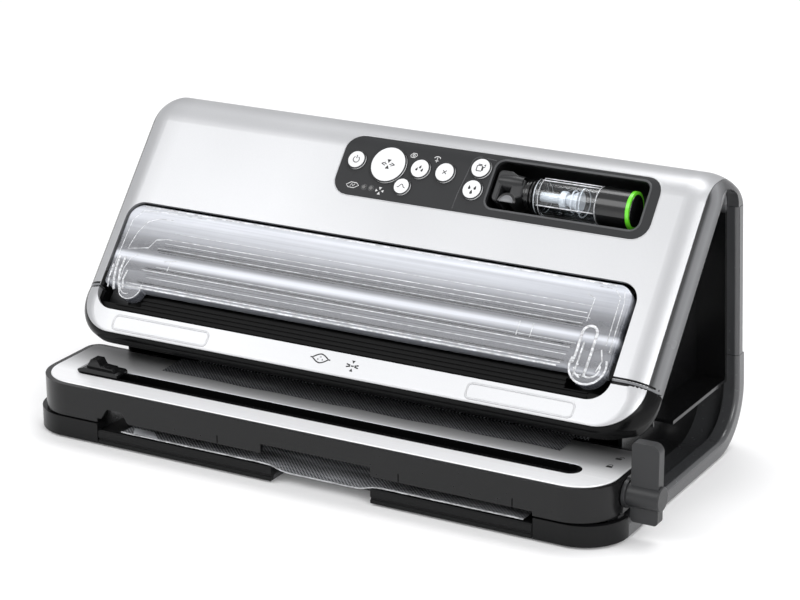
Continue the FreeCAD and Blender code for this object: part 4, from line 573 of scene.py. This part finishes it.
def piece(name, grids, finish, body="housing"):
    """A piece made of several grids. Doubles are merged, which closes seams and poles."""
    mesh = grid_mesh(name, grids)
    shape = bmesh.new()
    shape.from_mesh(mesh)
    bmesh.ops.remove_doubles(shape, verts=shape.verts, dist=1e-7)
    bmesh.ops.recalc_face_normals(shape, faces=shape.faces)
    shape.to_mesh(mesh)
    shape.free()
    mesh.shade_smooth()
    mesh.materials.append(finish)
    made = bpy.data.objects.new(name, mesh)
    bpy.context.scene.collection.objects.link(made)
    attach(made, body)
    return made


def bead(path, normal, across, up, closed=False, sides=8):
    """Bar of oval section along a path: across · cos t sideways and up · sin t along the normal.

    An open bar is capped at both ends."""
    path = np.asarray(path, float)
    if closed:
        step = np.roll(path, -1, 0) - np.roll(path, 1, 0)
    else:
        step = np.gradient(path, axis=0)
    side = np.cross(step, normal)
    side /= np.linalg.norm(side, axis=1, keepdims=True)
    turn = np.linspace(0, 2 * np.pi, sides + 1)[None, :, None]
    section = across * MM * np.cos(turn) * side[:, None] + up * MM * np.sin(turn) * normal
    points = path[:, None] + section
    if closed:
        return np.concatenate([points, points[:1]])
    ends = np.repeat(path[[0, -1], None], sides + 1, 1)
    return np.concatenate([ends[:1], points, ends[1:]])


def dome(outline, normal, rise):
    """Low dome over an outline: middle + cos t · (outline − middle) + rise · sin t · normal.

    Its edge goes down by 0.1 mm, so that no gap shows under it."""
    outline = np.concatenate([outline, outline[:1]])
    middle = outline[:-1].mean(0)
    turn = np.linspace(0, np.pi / 2, 5)[:, None, None]
    top = middle + np.cos(turn) * (outline - middle) + rise * MM * np.sin(turn) * normal
    return np.concatenate([outline[None] - 0.1 * MM * normal, top])


def ring(x, s, n, radius, thick, sides=48):
    """Torus round X: radius + thick · cos v out from the axis and thick · sin v along it."""
    u, v = grid((0, 2 * np.pi, sides + 1), (0, 2 * np.pi, 9))
    reach = radius + thick * np.cos(v)
    return on_slope(x + thick * np.sin(v), s + reach * np.cos(u), n + reach * np.sin(u))


def arc(x, y, radius, start, end, count=17):
    """Points of an arc, its angles in degrees."""
    turn = np.radians(np.linspace(start, end, count))
    return np.stack([x + radius * np.cos(turn), y + radius * np.sin(turn)], -1)


def rounded(x0, x1, y0, y1, corner):
    """Outline of a box with round corners."""
    places = [(x1, y1, -1, -1, 0), (x0, y1, 1, -1, 90), (x0, y0, 1, 1, 180), (x1, y0, -1, 1, 270)]
    return np.concatenate([arc(x + a * corner, y + b * corner, corner, t, t + 90, 7)
                           for x, y, a, b, t in places])


def drop(x, y, size, lean):
    """Teardrop: sin t · sin(t/2)² across and cos t along, leaned over by an angle in degrees."""
    t = circle(16)
    across, along = 0.9 * np.sin(t) * np.sin(t / 2) ** 2, np.cos(t)
    c, s = math.cos(math.radians(lean)), math.sin(math.radians(lean))
    return np.stack([x + size * (c * across - s * along),
                     y + size * (s * across + c * along)], -1)


def skin(s):
    """Height of the crown over the flat slope: 0, then the ridge's arc falls away."""
    past = np.maximum(np.asarray(s, float) - RIDGE_START, 0)
    return np.sqrt(RIDGE_ROUND ** 2 - past ** 2) - RIDGE_ROUND


def drawn(points, n=0.0):
    """Outline points (x, s) laid on the crown, n mm above it."""
    points = np.asarray(points, float)
    return on_slope(points[:, 0], points[:, 1], n + skin(points[:, 1]))


# ---- printed and raised marks ----

def marks(name, body, place, lines, fills, finish, n=0.02, width=0.28):
    """Symbol round its place (x, s): thin lines, each closed or not, and filled outlines."""
    x, s = place
    grids = [bead(drawn(np.asarray(line, float) + (x, s), n), SLOPE_OUT, width, 0.05, closed, 6)
             for line, closed in lines]
    grids += [dome(drawn(np.asarray(fill, float) + (x, s), n), SLOPE_OUT, 0.05) for fill in fills]
    return piece(name, grids, finish, body)


def arrowhead(x, y, turn, size):
    """Triangle that points along an angle in degrees."""
    return arc(x, y, size, turn, turn + 240, 3)


def button_marks():
    """Symbols on the seven buttons. Each rides on its own button."""
    spread = [((a, b), False) for a, b in
              (((-4.6, 0.1), (-2.0, 1.2)), ((-4.6, 0.1), (-2.0, -1.0)), ((4.6, 0.1), (2.0, 1.2)),
               ((4.6, 0.1), (2.0, -1.0)), ((-2.4, 0.1), (-0.9, 0.1)), ((2.4, 0.1), (0.9, 0.1)))]
    hill = [(-2.8, -1.0), (-1.7, -0.8), (-1.0, 0.4), (-0.4, 1.2), (0.4, 1.2), (1.0, 0.4),
            (1.7, -0.8), (2.8, -1.0)]
    cross = [([(-1.3, -1.2), (1.3, 1.2)], False), ([(-1.3, 1.2), (1.3, -1.2)], False)]
    canister = [(rounded(-2.6, 1.0, -2.2, 1.4, 0.5), True), ([(-2.0, 2.2), (0.4, 2.2)], False),
                ([(1.6, -1.8), (1.6, 0.6)], False), ([(1.6, 0.6), (2.9, 0.6)], False)]
    symbols = {
        "power": ([(arc(0, 0, 2.1, 125, 415), False), ([(0, 0.7), (0, 2.9)], False)], []),
        "vacuum_seal": (spread, [arrowhead(0, 2.5, 270, 1.7), arrowhead(0, -2.3, 90, 1.7)]),
        "seal": ([(hill, False)], []),
        "moist": ([], [drop(-1.9, -0.5, 1.3, -20), drop(0.2, 1.2, 1.3, -20),
                       drop(1.9, -0.7, 1.3, -20)]),
        "cancel": (cross, []),
        "accessory": (canister, [arrowhead(2.6, 1.9, 60, 0.9)]),
        "marinate": ([], [drop(-2.0, 1.2, 1.5, 10), drop(2.0, 1.3, 1.5, -10),
                          drop(0.1, -1.7, 1.6, 0)]),
    }
    for name, (lines, fills) in symbols.items():
        n = BUTTON_TOP + (0.04 if name == "accessory" else 0)
        marks("mark_" + name, "button_" + name, BUTTONS[name][:2], lines, fills, ink_dark, n)


def button_collars():
    """Dark shut line round each button face, a ring just inside the face's edge."""
    turn = circle(48)
    for name, (x, s, radius) in BUTTONS.items():
        reach = radius - 0.35
        path = on_slope(x + reach * np.cos(turn), s + reach * np.sin(turn), BUTTON_TOP - 0.07)
        piece("collar_" + name, [bead(path, SLOPE_OUT, 0.55, 0.2, True)], panel_grey,
              "button_" + name)


def seam_lines():
    """Double shut line between shell and nose trim with a grey edge between, over the sides.

    On the rounding it falls away from the slope by R − √(R² − past²)."""
    shade, light = [], []
    for sign, inner in ((-1, 188), (1, 174.5)):
        x = np.linspace(inner, 200.5, 14)
        past = np.maximum(x - SIDE_START, 0)
        fall = np.sqrt(SIDE_ROUND ** 2 - past ** 2) - SIDE_ROUND - 0.05
        shade += [bead(on_slope(sign * x, TRIM_SEAM + aside, fall), SLOPE_OUT, wide, 0.16)
                  for aside, wide in ((-1.7, 1.0), (1.5, 0.75))]
        light.append(bead(on_slope(sign * x, TRIM_SEAM, fall), SLOPE_OUT, 0.8, 0.13))
    piece("trim_seam_line", shade, chin_black)
    piece("trim_seam_edge", light, line_grey)


def lever_disc():
    """Raised rim of the barrel's end disc."""
    turn = circle(40)
    path = at(LEVER_X, LEVER_Y + 5.8 * np.cos(turn), LEVER_Z + 5.8 * np.sin(turn))
    piece("lever_disc_rim", [bead(path, np.array([1.0, 0, 0]), 0.4, 0.38, True)], line_grey,
          "lever")


def slot_edge():
    """Dark shut line round the cutter slot, and a painted highlight: a light line on the plate
    behind it.
    """
    path = rounded(-177.8, 172.8, 20.4, 33.6, 6.5)
    top = PLATE_TOP + 0.03
    piece("slot_edge", [bead(at(path[:, 0], path[:, 1], top), UPRIGHT, 0.45, 0.14, True)],
          chin_black, "platform")
    # painted highlight: a light line along the plate behind the slot
    x = np.linspace(-150, 168, 30)
    piece("slot_painted_highlight", [bead(at(x, 34.6, top), UPRIGHT, 0.55, 0.16)], valve_white,
          "platform")


def panel_marks():
    """Light printed symbols, the two dim light rings and the raised contour line of the panel."""
    bag = [(-2.3, -0.2), (-0.8, 1.5), (1.6, 1.4), (2.3, 0.2), (0.8, -1.5), (-1.6, -1.4)]
    marks("print_bag", "housing", (0.9, 135.1),
          [(bag, True), (arc(0, 0, 0.7, 0, 360, 9), False)], [], ink_light)
    marks("print_canister", "housing", (17.4, 134.7),
          [(arc(0, -0.4, 2.4, 25, 155, 9), False), ([(0, -2.2), (0, 1.4)], False),
           ([(-1.2, -1.0), (1.2, -1.0)], False)], [], ink_light)
    long_bag = [(-4.4, -0.2), (-1.4, 1.9), (2.6, 1.7), (4.4, 0.2), (1.4, -1.9), (-2.6, -1.7)]
    marks("print_long_bag", "housing", (-34.2, 109.4),
          [(long_bag, True), ([(-1.5, -0.8), (-0.5, 0.9), (0.5, -0.8), (1.5, 0.9)], False)], [],
          ink_light)
    marks("print_wheel", "housing", (-14.3, 108.2), [],
          [arrowhead(0, 1.9, 270, 1.3), arrowhead(0, -1.9, 90, 1.3), arrowhead(2.2, 0, 180, 1.1),
           arrowhead(-2.2, 0, 0, 1.1)], ink_light)
    lights = [(arc(x, 0, 1.8, 0, 360, 25), False) for x in (-2.55, 2.55)]
    marks("light_rings", "housing", (-23.15, 109.1), lights, [], panel_line)
    contour = np.concatenate([[(57, 139.9), (48, 140.4)], arc(46, 136.2, 4.6, 92, 172, 6),
                              [(40.2, 126), (38.6, 114), (38.2, 104)]])
    piece("panel_contour", [bead(drawn(contour), SLOPE_OUT, 0.35, 0.14)], panel_line)
    rim = rounded(57.6, 161.4, 107.6, 141.4, 6.4)
    piece("dock_rim", [bead(drawn(rim, -0.05), SLOPE_OUT, 0.75, 0.30, True)], panel_line)
    edge = rounded(-48.1, 168.6, 102.0, 144.7, 11.6)
    piece("panel_edge", [bead(drawn(edge, -0.02), SLOPE_OUT, 0.40, 0.22, True)], silver)


def trim_marks():
    """Symbols and pressed pads on the nose trim, and the padlocks on the plate."""
    t = np.linspace(-1, 1, 15)
    rise = 2.9 * (1 - np.abs(t) ** 1.6)
    leaf = np.concatenate([np.stack([5.6 * t, rise], -1), np.stack([-5.6 * t, -rise], -1)[1:-1]])
    marks("trim_bag", "housing", (-14.5, -6), [(leaf, True), ([(-7, 0), (-5.4, 0)], False),
          ([(7, 0), (5.4, 0)], False)],
          [arrowhead(0, 1.0, 90, 0.7), arrowhead(-1.6, -0.7, 90, 0.7),
           arrowhead(1.6, -0.7, 90, 0.7)], ink_dark, width=0.42)
    rays = [((a, b), False) for a, b in
            (((-4.2, 0.9), (-1.5, 0.3)), ((-4.2, -0.9), (-1.5, -0.3)), ((4.2, 0.9), (1.5, 0.3)),
             ((4.2, -0.9), (1.5, -0.3)), ((-1, 0), (1, 0)))]
    marks("trim_arrows", "housing", (8.4, -7), rays,
          [arrowhead(0, 2.9, 270, 1.4), arrowhead(0, -2.9, 90, 1.4)], ink_dark, width=0.42)
    pads = [bead(drawn(rounded(a, b, -12.8, -3.2, 3)), SLOPE_OUT, 0.65, 0.30, True)
            for a, b in ((-167, -96), (87, 157))]
    piece("trim_pads", pads, silver)
    padlocks = []
    for y, swing in ((41, 0), (54, 1.3)):
        body = rounded(-1.9, 1.9, -1.5, 1.1, 0.4) + (184.5, y)
        bow = arc(184.5 + swing, y + 1.6, 1.3, 0, 180, 9)
        padlocks.append(dome(at(body[:, 0], body[:, 1], PLATE_TOP + 0.03), UPRIGHT, 0.05))
        path = at(bow[:, 0], bow[:, 1], PLATE_TOP + 0.05)
        padlocks.append(bead(path, UPRIGHT, 0.30, 0.05, False, 6))
    piece("plate_padlocks", padlocks, ink_dark, "platform")


# ---- window lid ----

def lid_details():
    """Ribs, stepped corners and edge lines of the lid, and hook shapes in its lugs. The light lines
    are painted highlights on the clear plastic and the dark lines are painted shade.
    """
    face = 1.12

    def row(s, x0, x1, n, across, up):
        """A bar along X at s, n mm above the crown."""
        x = np.linspace(x0, x1, 24)
        return bead(drawn(np.stack([x, np.full(24, s)], -1), n), SLOPE_OUT, across, up)

    # painted highlights: light lines on the clear lid's edges, ribs, corners, hooks and lug rims
    edges = [row(16.9, -172, 138, 1.1, 0.55, 0.22), row(18.9, -168, 140, 1.15, 0.35, 0.16),
             row(71.9, -174, 160, 1.05, 0.60, 0.25), row(29.2, -160, 143, 1.15, 0.30, 0.12)]
    piece("lid_edge_highlights", edges, highlight_white, "lid")
    ribs = [row(s, a, b, face, w, 0.12) for s, a, b, w in
            ((24.6, -155, 142, 0.25), (32.4, -150, 146, 0.20), (45.3, -154, 146, 0.22),
             (49.2, -150, 150, 0.22), (52.2, -149, 147, 0.30), (57.0, -146, 150, 0.18))]
    piece("lid_rib_highlights", ribs, highlight_white, "lid")
    # painted shade: dark lines across the clear lid
    shade_lines = [row(s, a, b, face, w, 0.10) for s, a, b, w in
               ((20.6, -160, 142, 0.55), (30.9, -158, 143, 0.50), (44.0, -154, 147, 0.60),
                (42.6, -152, 147, 0.25), (47.3, -150, 147, 0.20), (26.6, -156, 143, 0.22))]
    piece("lid_shade_lines", shade_lines, cap_black, "lid")
    left = [[(-149.2, 52.2), (-157.3, 50.6), (-161, 44.5), (-176, 41.8)],
            [(-150, 65.5), (-161, 65), (-168, 62), (-173, 54), (-176, 42)],
            [(-120, 70.2), (-160, 70), (-174, 69), (-180, 62), (-181, 40), (-181, 24)],
            [(-166, 39.5), (-171, 36), (-173.5, 28), (-173, 20)],
            [(-141, 38), (-141.5, 31)], [(-136, 39), (-146, 37)]]
    right = [[(144.5, 63.6), (149, 62), (148.2, 47)], [(166, 69), (167.8, 62), (168.2, 30)],
             [(150, 70), (160, 69.6), (164.5, 65), (164.9, 34)],
             [(107, 40), (107, 31)], [(116, 40), (116, 31)]]
    corners = [bead(drawn(line, face), SLOPE_OUT, 0.35, 0.16) for line in left + right]
    piece("lid_corner_highlights", corners, highlight_white, "lid")
    bend = np.concatenate([[(147.5, 20), (148, 28)], arc(152.7, 39.8, 4.7, 175, 5, 9),
                           [(157.3, 28.3), (156.9, 12.8)]])
    bars = ((bend, 0.9, 0.5), ([(151.0, 34), (150.4, 12)], 0.6, 0.4),
            ([(-175, 36), (-175.5, 26), (-173.5, 18), (-170, 12)], 0.8, 0.5),
            ([(-179.5, 36), (-179, 27), (-177.5, 19), (-175, 13)], 0.9, 0.5),
            ([(-170, 27), (-171, 21), (-168.5, 14)], 0.6, 0.4),
            ([(-182, 30), (-181.5, 20), (-180, 14)], 0.5, 0.4),
            ([(163, 31), (165.5, 24), (163.5, 17)], 0.5, 0.4))
    hook_highlights = [bead(drawn(line, 1.3), SLOPE_OUT, across, up) for line, across, up in bars]
    swirls = ((RIGHT_LUG, 0, 0, 11.6, 160, 385, 0.7), (RIGHT_LUG, 0, 0, 8.6, 195, 250, 0.5),
              (RIGHT_LUG, 2, -1, 6.0, 250, 380, 0.6), (RIGHT_LUG, -4, -3, 3.6, 120, 300, 0.4),
              (LEFT_LUG, 0, 0, 8.1, 170, 380, 0.4), (LEFT_LUG, -2, -0.5, 4.6, 190, 300, 0.3))
    highlight_rims = [bead(drawn(arc(x + aside, s + up, r, a, b, 21), 1.15), SLOPE_OUT, wide, 0.3)
            for (x, s), aside, up, r, a, b, wide in swirls]
    piece("lid_hook_highlights", hook_highlights, highlight_white, "lid")
    piece("lid_lug_highlights", highlight_rims, highlight_white, "lid")


# ---- handheld sealer ----

def handheld_details():
    """Arch, cheek and crown of the head, ribs of the neck, the reservoir's rims and streaks, which
    are painted highlights, and its cup.

    The crown is half a tube along X that swells by 0.6 · sin(πv) in its middle. The cup widens
    along X, its radius 2.6 + 4.4 · v^1.5."""
    s, n = HANDHELD_S, HANDHELD_N
    arch = arc(71.5, 114.2, 6.2, 0, 180, 15)
    piece("head_arch", [dome(on_slope(arch[:, 0], arch[:, 1], -0.95), SLOPE_OUT, 0.1)], cap_black,
          "handheld")
    cheek = arc(71.5, 114.0, 4.6, 0, 180, 13)
    piece("head_cheek", [dome(on_slope(cheek[:, 0], cheek[:, 1], -0.7), SLOPE_OUT, 0.5)],
          line_grey, "handheld")
    u, v = grid((0, np.pi, 25), (0, 1, 7))
    reach = 0.6 * np.sin(np.pi * v)
    crown = on_slope(62.5 + 16 * v, 128.6 + (5.2 + reach) * np.cos(u),
                     -6.5 + (6.4 + reach) * np.sin(u))
    piece("head_crown", [crown], head_grey, "handheld")
    ribs = [ring(x, s, n, r, 0.55) for x, r in ((81.5, 8.6), (83.8, 9.2), (86.1, 9.8))]
    piece("neck_ribs", ribs, cap_black, "handheld")
    # painted highlights: light rings and streaks on the clear reservoir
    highlight_rims = [ring(88.9, s, n, 10.6, 0.5), ring(92.0, s, n, 11.5, 0.22),
            ring(129.8, s, n, 11.5, 0.28)]
    x = np.linspace(91, 129, 12)
    highlight_rims += [bead(on_slope(x, s + side, n + height), SLOPE_OUT, 0.45, 0.2)
             for side, height in ((7.2, 9.1), (9.6, 6.5), (-8.8, 7.5))]
    piece("reservoir_highlights", highlight_rims, highlight_white, "handheld")
    cup = [ring(112, s, n, 6.6, 0.45), ring(118.5, s, n, 8.8, 0.35), ring(106.5, s, n, 4.6, 0.8)]
    u, v = grid((0, 2 * np.pi, 33), (0, 1, 9))
    reach = 2.6 + 4.4 * v ** 1.5
    cup.append(on_slope(104 + 12 * v, s + reach * np.cos(u), n + reach * np.sin(u)))
    piece("reservoir_cup", cup, valve_white, "handheld")


# ---- film ----

def film_front():
    """Film from the roll over the ramp and out over the shelf: a path carried across its width.

    The path's bends are softened by the mean of seven copies shifted by up to 3 mm. Over the finger
    gap it sags by 3.5 mm · w(x) · e², where w is a smooth step up and down across the gap and e
    grows from 0 to 1 towards the front edge, which has two small waves in it."""
    width, middle = FILM_WIDTH, FILM_MIDDLE
    gap_left, gap_right, soft_edge, shelf, sag = -17, 46, 2.5, 34, 3.5
    turns = np.array([(128.6, 58.9), (112.0, 40.9), (76.0, 22.7), (60.0, 14.2), (40.0, 9.8),
                      (0.8, 11.2)])
    gone = np.concatenate([[0], np.cumsum(np.hypot(*np.diff(turns, axis=0).T))])
    along = np.linspace(0, gone[-1], 121)
    soft = np.linspace(-3, 3, 7)[:, None]
    reach = np.clip(along + soft, 0, gone[-1])
    y = np.interp(reach, gone, turns[:, 0]).mean(0)
    z = np.interp(reach, gone, turns[:, 1]).mean(0) + 0.15
    x = np.linspace(middle - width / 2, middle + width / 2, 181)
    x, y = np.meshgrid(x, y, indexing="ij")
    z = np.broadcast_to(z, x.shape)
    near = np.clip(1 - y / shelf, 0, 1)
    gap = 1 / (1 + np.exp((gap_left - x) / soft_edge)) / (1 + np.exp((x - gap_right) / soft_edge))
    wave = 0.22 * np.sin(x / 3.1) + 0.16 * np.sin(x / 1.7 + 1)
    z = z - sag * gap * near ** 2 + (0.3 + wave) * np.clip(near - 0.55, 0, 1) ** 2
    web = piece("film_web_sheet", [at(x, y, z)], film_lit_copy)
    rim_x = x[:, -1]
    rim = at(rim_x, y[:, -1] + 0.5, z[:, -1] + 0.12 + 0.10 * np.sin(rim_x * 2.3))
    u, v = grid((0, 1, 9), (0, 1, 7))
    block_x = (-121 + 19 * u) * (1 - v) + (-127 + 15 * u) * v
    fold = 0.30 + 0.12 * np.sin(block_x / 1.9) ** 2
    block = piece("film_clear_margin", [at(block_x, 1.2 + 10.5 * v, 11.1 + fold)], valve_white)
    # painted highlight: a light bead along the film's front edge
    edge = piece("film_front_edge_highlight", [bead(rim, UPRIGHT, 0.8, 0.45)], film_edge_highlight)
    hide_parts("film_web")


def film_reflection_sheet():
    """A sheet of film, in the copy darkened by painted shade, laid on the plate in the throat as a
    painted reflection of the
    film in the plate: a strip whose front edge ripples by 0.5 mm and whose back rises by 0.8 mm
    towards the film behind it."""
    width, length, front = FILM_WIDTH, 22.0, 49
    x, v = grid((FILM_MIDDLE - width / 2, FILM_MIDDLE + width / 2, 141), (0, 1, 12))
    y = front + 0.5 * np.sin(x / 9) * (1 - v) + length * v
    z = PLATE_TOP + 0.25 + 0.8 * v ** 2 + 0.1 * np.sin(x / 5) * (1 - v)
    # painted reflection: dark film laid on the plate where the film shows in it
    reflection_sheet = piece("film_throat_reflection", [at(x, y, z)], film_shaded, "platform")


button_marks()
button_collars()
seam_lines()
lever_disc()
slot_edge()
panel_marks()
trim_marks()
lid_details()
handheld_details()
film_front()
film_reflection_sheet()


# ---- stage, lamps and camera ----

def stage_floor():
    """A pale floor disc of 4 m radius that rises at its rim by 0.8 m · out⁶."""
    radius, rise = 4.0, 0.8
    out, turn = grid((0, 1, 25), (0, 2 * np.pi, 97))
    mesh = grid_mesh("floor", [np.stack([radius * out * np.cos(turn), radius * out * np.sin(turn),
                                         rise * out ** 6], -1)])
    floor = bpy.data.objects.new("floor", mesh)
    bpy.context.scene.collection.objects.link(floor)
    f = Finish("floor_white")
    tone = f.blend(f.noise(3, 2), grey(0.88), grey(0.90))
    mesh.materials.append(f.done(f.surface(
        Base_Color=tone, Roughness=0.7, Emission_Color=tone, Emission_Strength=0.10)))


def soft_box(name, place, aim, width, height, power):
    """An area lamp that looks at aim."""
    light = bpy.data.lights.new(name, "AREA")
    light.shape = "RECTANGLE"
    light.size = width
    light.size_y = height
    light.energy = power
    lamp = bpy.data.objects.new(name, light)
    bpy.context.scene.collection.objects.link(lamp)
    lamp.location = place
    away = Vector(place) - Vector(aim)
    lamp.rotation_euler = away.to_track_quat("Z", "Y").to_euler()


def studio_world(front, back):
    """White surroundings, bright in front of the object and dimmer behind and overhead."""
    brightest = (0.1, -0.85, -0.35)
    world = bpy.data.worlds.new("studio")
    world.use_nodes = True
    tree = world.node_tree
    place = tree.nodes.new("ShaderNodeTexCoord")
    depth = tree.nodes.new("ShaderNodeVectorMath")
    depth.operation = "DOT_PRODUCT"
    depth.inputs[1].default_value = brightest
    ramp = tree.nodes.new("ShaderNodeValToRGB")
    ramp.color_ramp.elements[0].position = 0.0
    ramp.color_ramp.elements[0].color = (back, back, back * 1.02, 1)
    ramp.color_ramp.elements[1].position = 0.8
    ramp.color_ramp.elements[1].color = (front, front, front, 1)
    tree.links.new(place.outputs["Generated"], depth.inputs[0])
    tree.links.new(depth.outputs["Value"], ramp.inputs["Fac"])
    tree.links.new(ramp.outputs["Color"], tree.nodes["Background"].inputs["Color"])
    bpy.context.scene.world = world


def camera():
    """A long lens in front, to the right and above. It aims a little beside its target."""
    azimuth, height, roll = (math.radians(a) for a in (29.39, 18.52, 0.31))
    beside, below = (math.radians(a) for a in (-0.0764, -0.5302))
    distance = 1.641
    target = Vector(at(0, 120, 100).tolist())
    back = Vector((math.sin(azimuth) * math.cos(height),
                   -math.cos(azimuth) * math.cos(height), math.sin(height)))
    right = Vector((math.cos(azimuth), math.sin(azimuth), 0))
    level = Matrix((right, back.cross(right), back))
    tilt = Matrix(((1, 0, 0), (0, math.cos(below), math.sin(below)),
                   (0, -math.sin(below), math.cos(below))))
    swing = Matrix(((math.cos(beside), 0, -math.sin(beside)), (0, 1, 0),
                    (math.sin(beside), 0, math.cos(beside))))
    turn = Matrix.Rotation(roll, 3, "Z")
    view = turn @ tilt @ swing @ level
    lens_data = bpy.data.cameras.new("camera")
    lens_data.lens = 118.17
    lens_data.sensor_width = 36
    eye = bpy.data.objects.new("camera", lens_data)
    bpy.context.scene.collection.objects.link(eye)
    place = Matrix.Translation(target + back * distance)
    eye.matrix_world = place @ view.transposed().to_4x4()
    bpy.context.scene.camera = eye


stage_floor()
studio_world(0.82, 0.72)
soft_box("key", (-1.1, -1.5, 1.7), (0, 0, 0.1), 1.4, 1.2, 16)
soft_box("fill", (1.6, -0.9, 1.0), (0, 0, 0.1), 0.8, 1.2, 13)
soft_box("top", (0.1, 0.6, 1.8), (0, 0, 0.1), 1.6, 0.7, 14)
camera()
bpy.context.scene.view_settings.view_transform = "Standard"
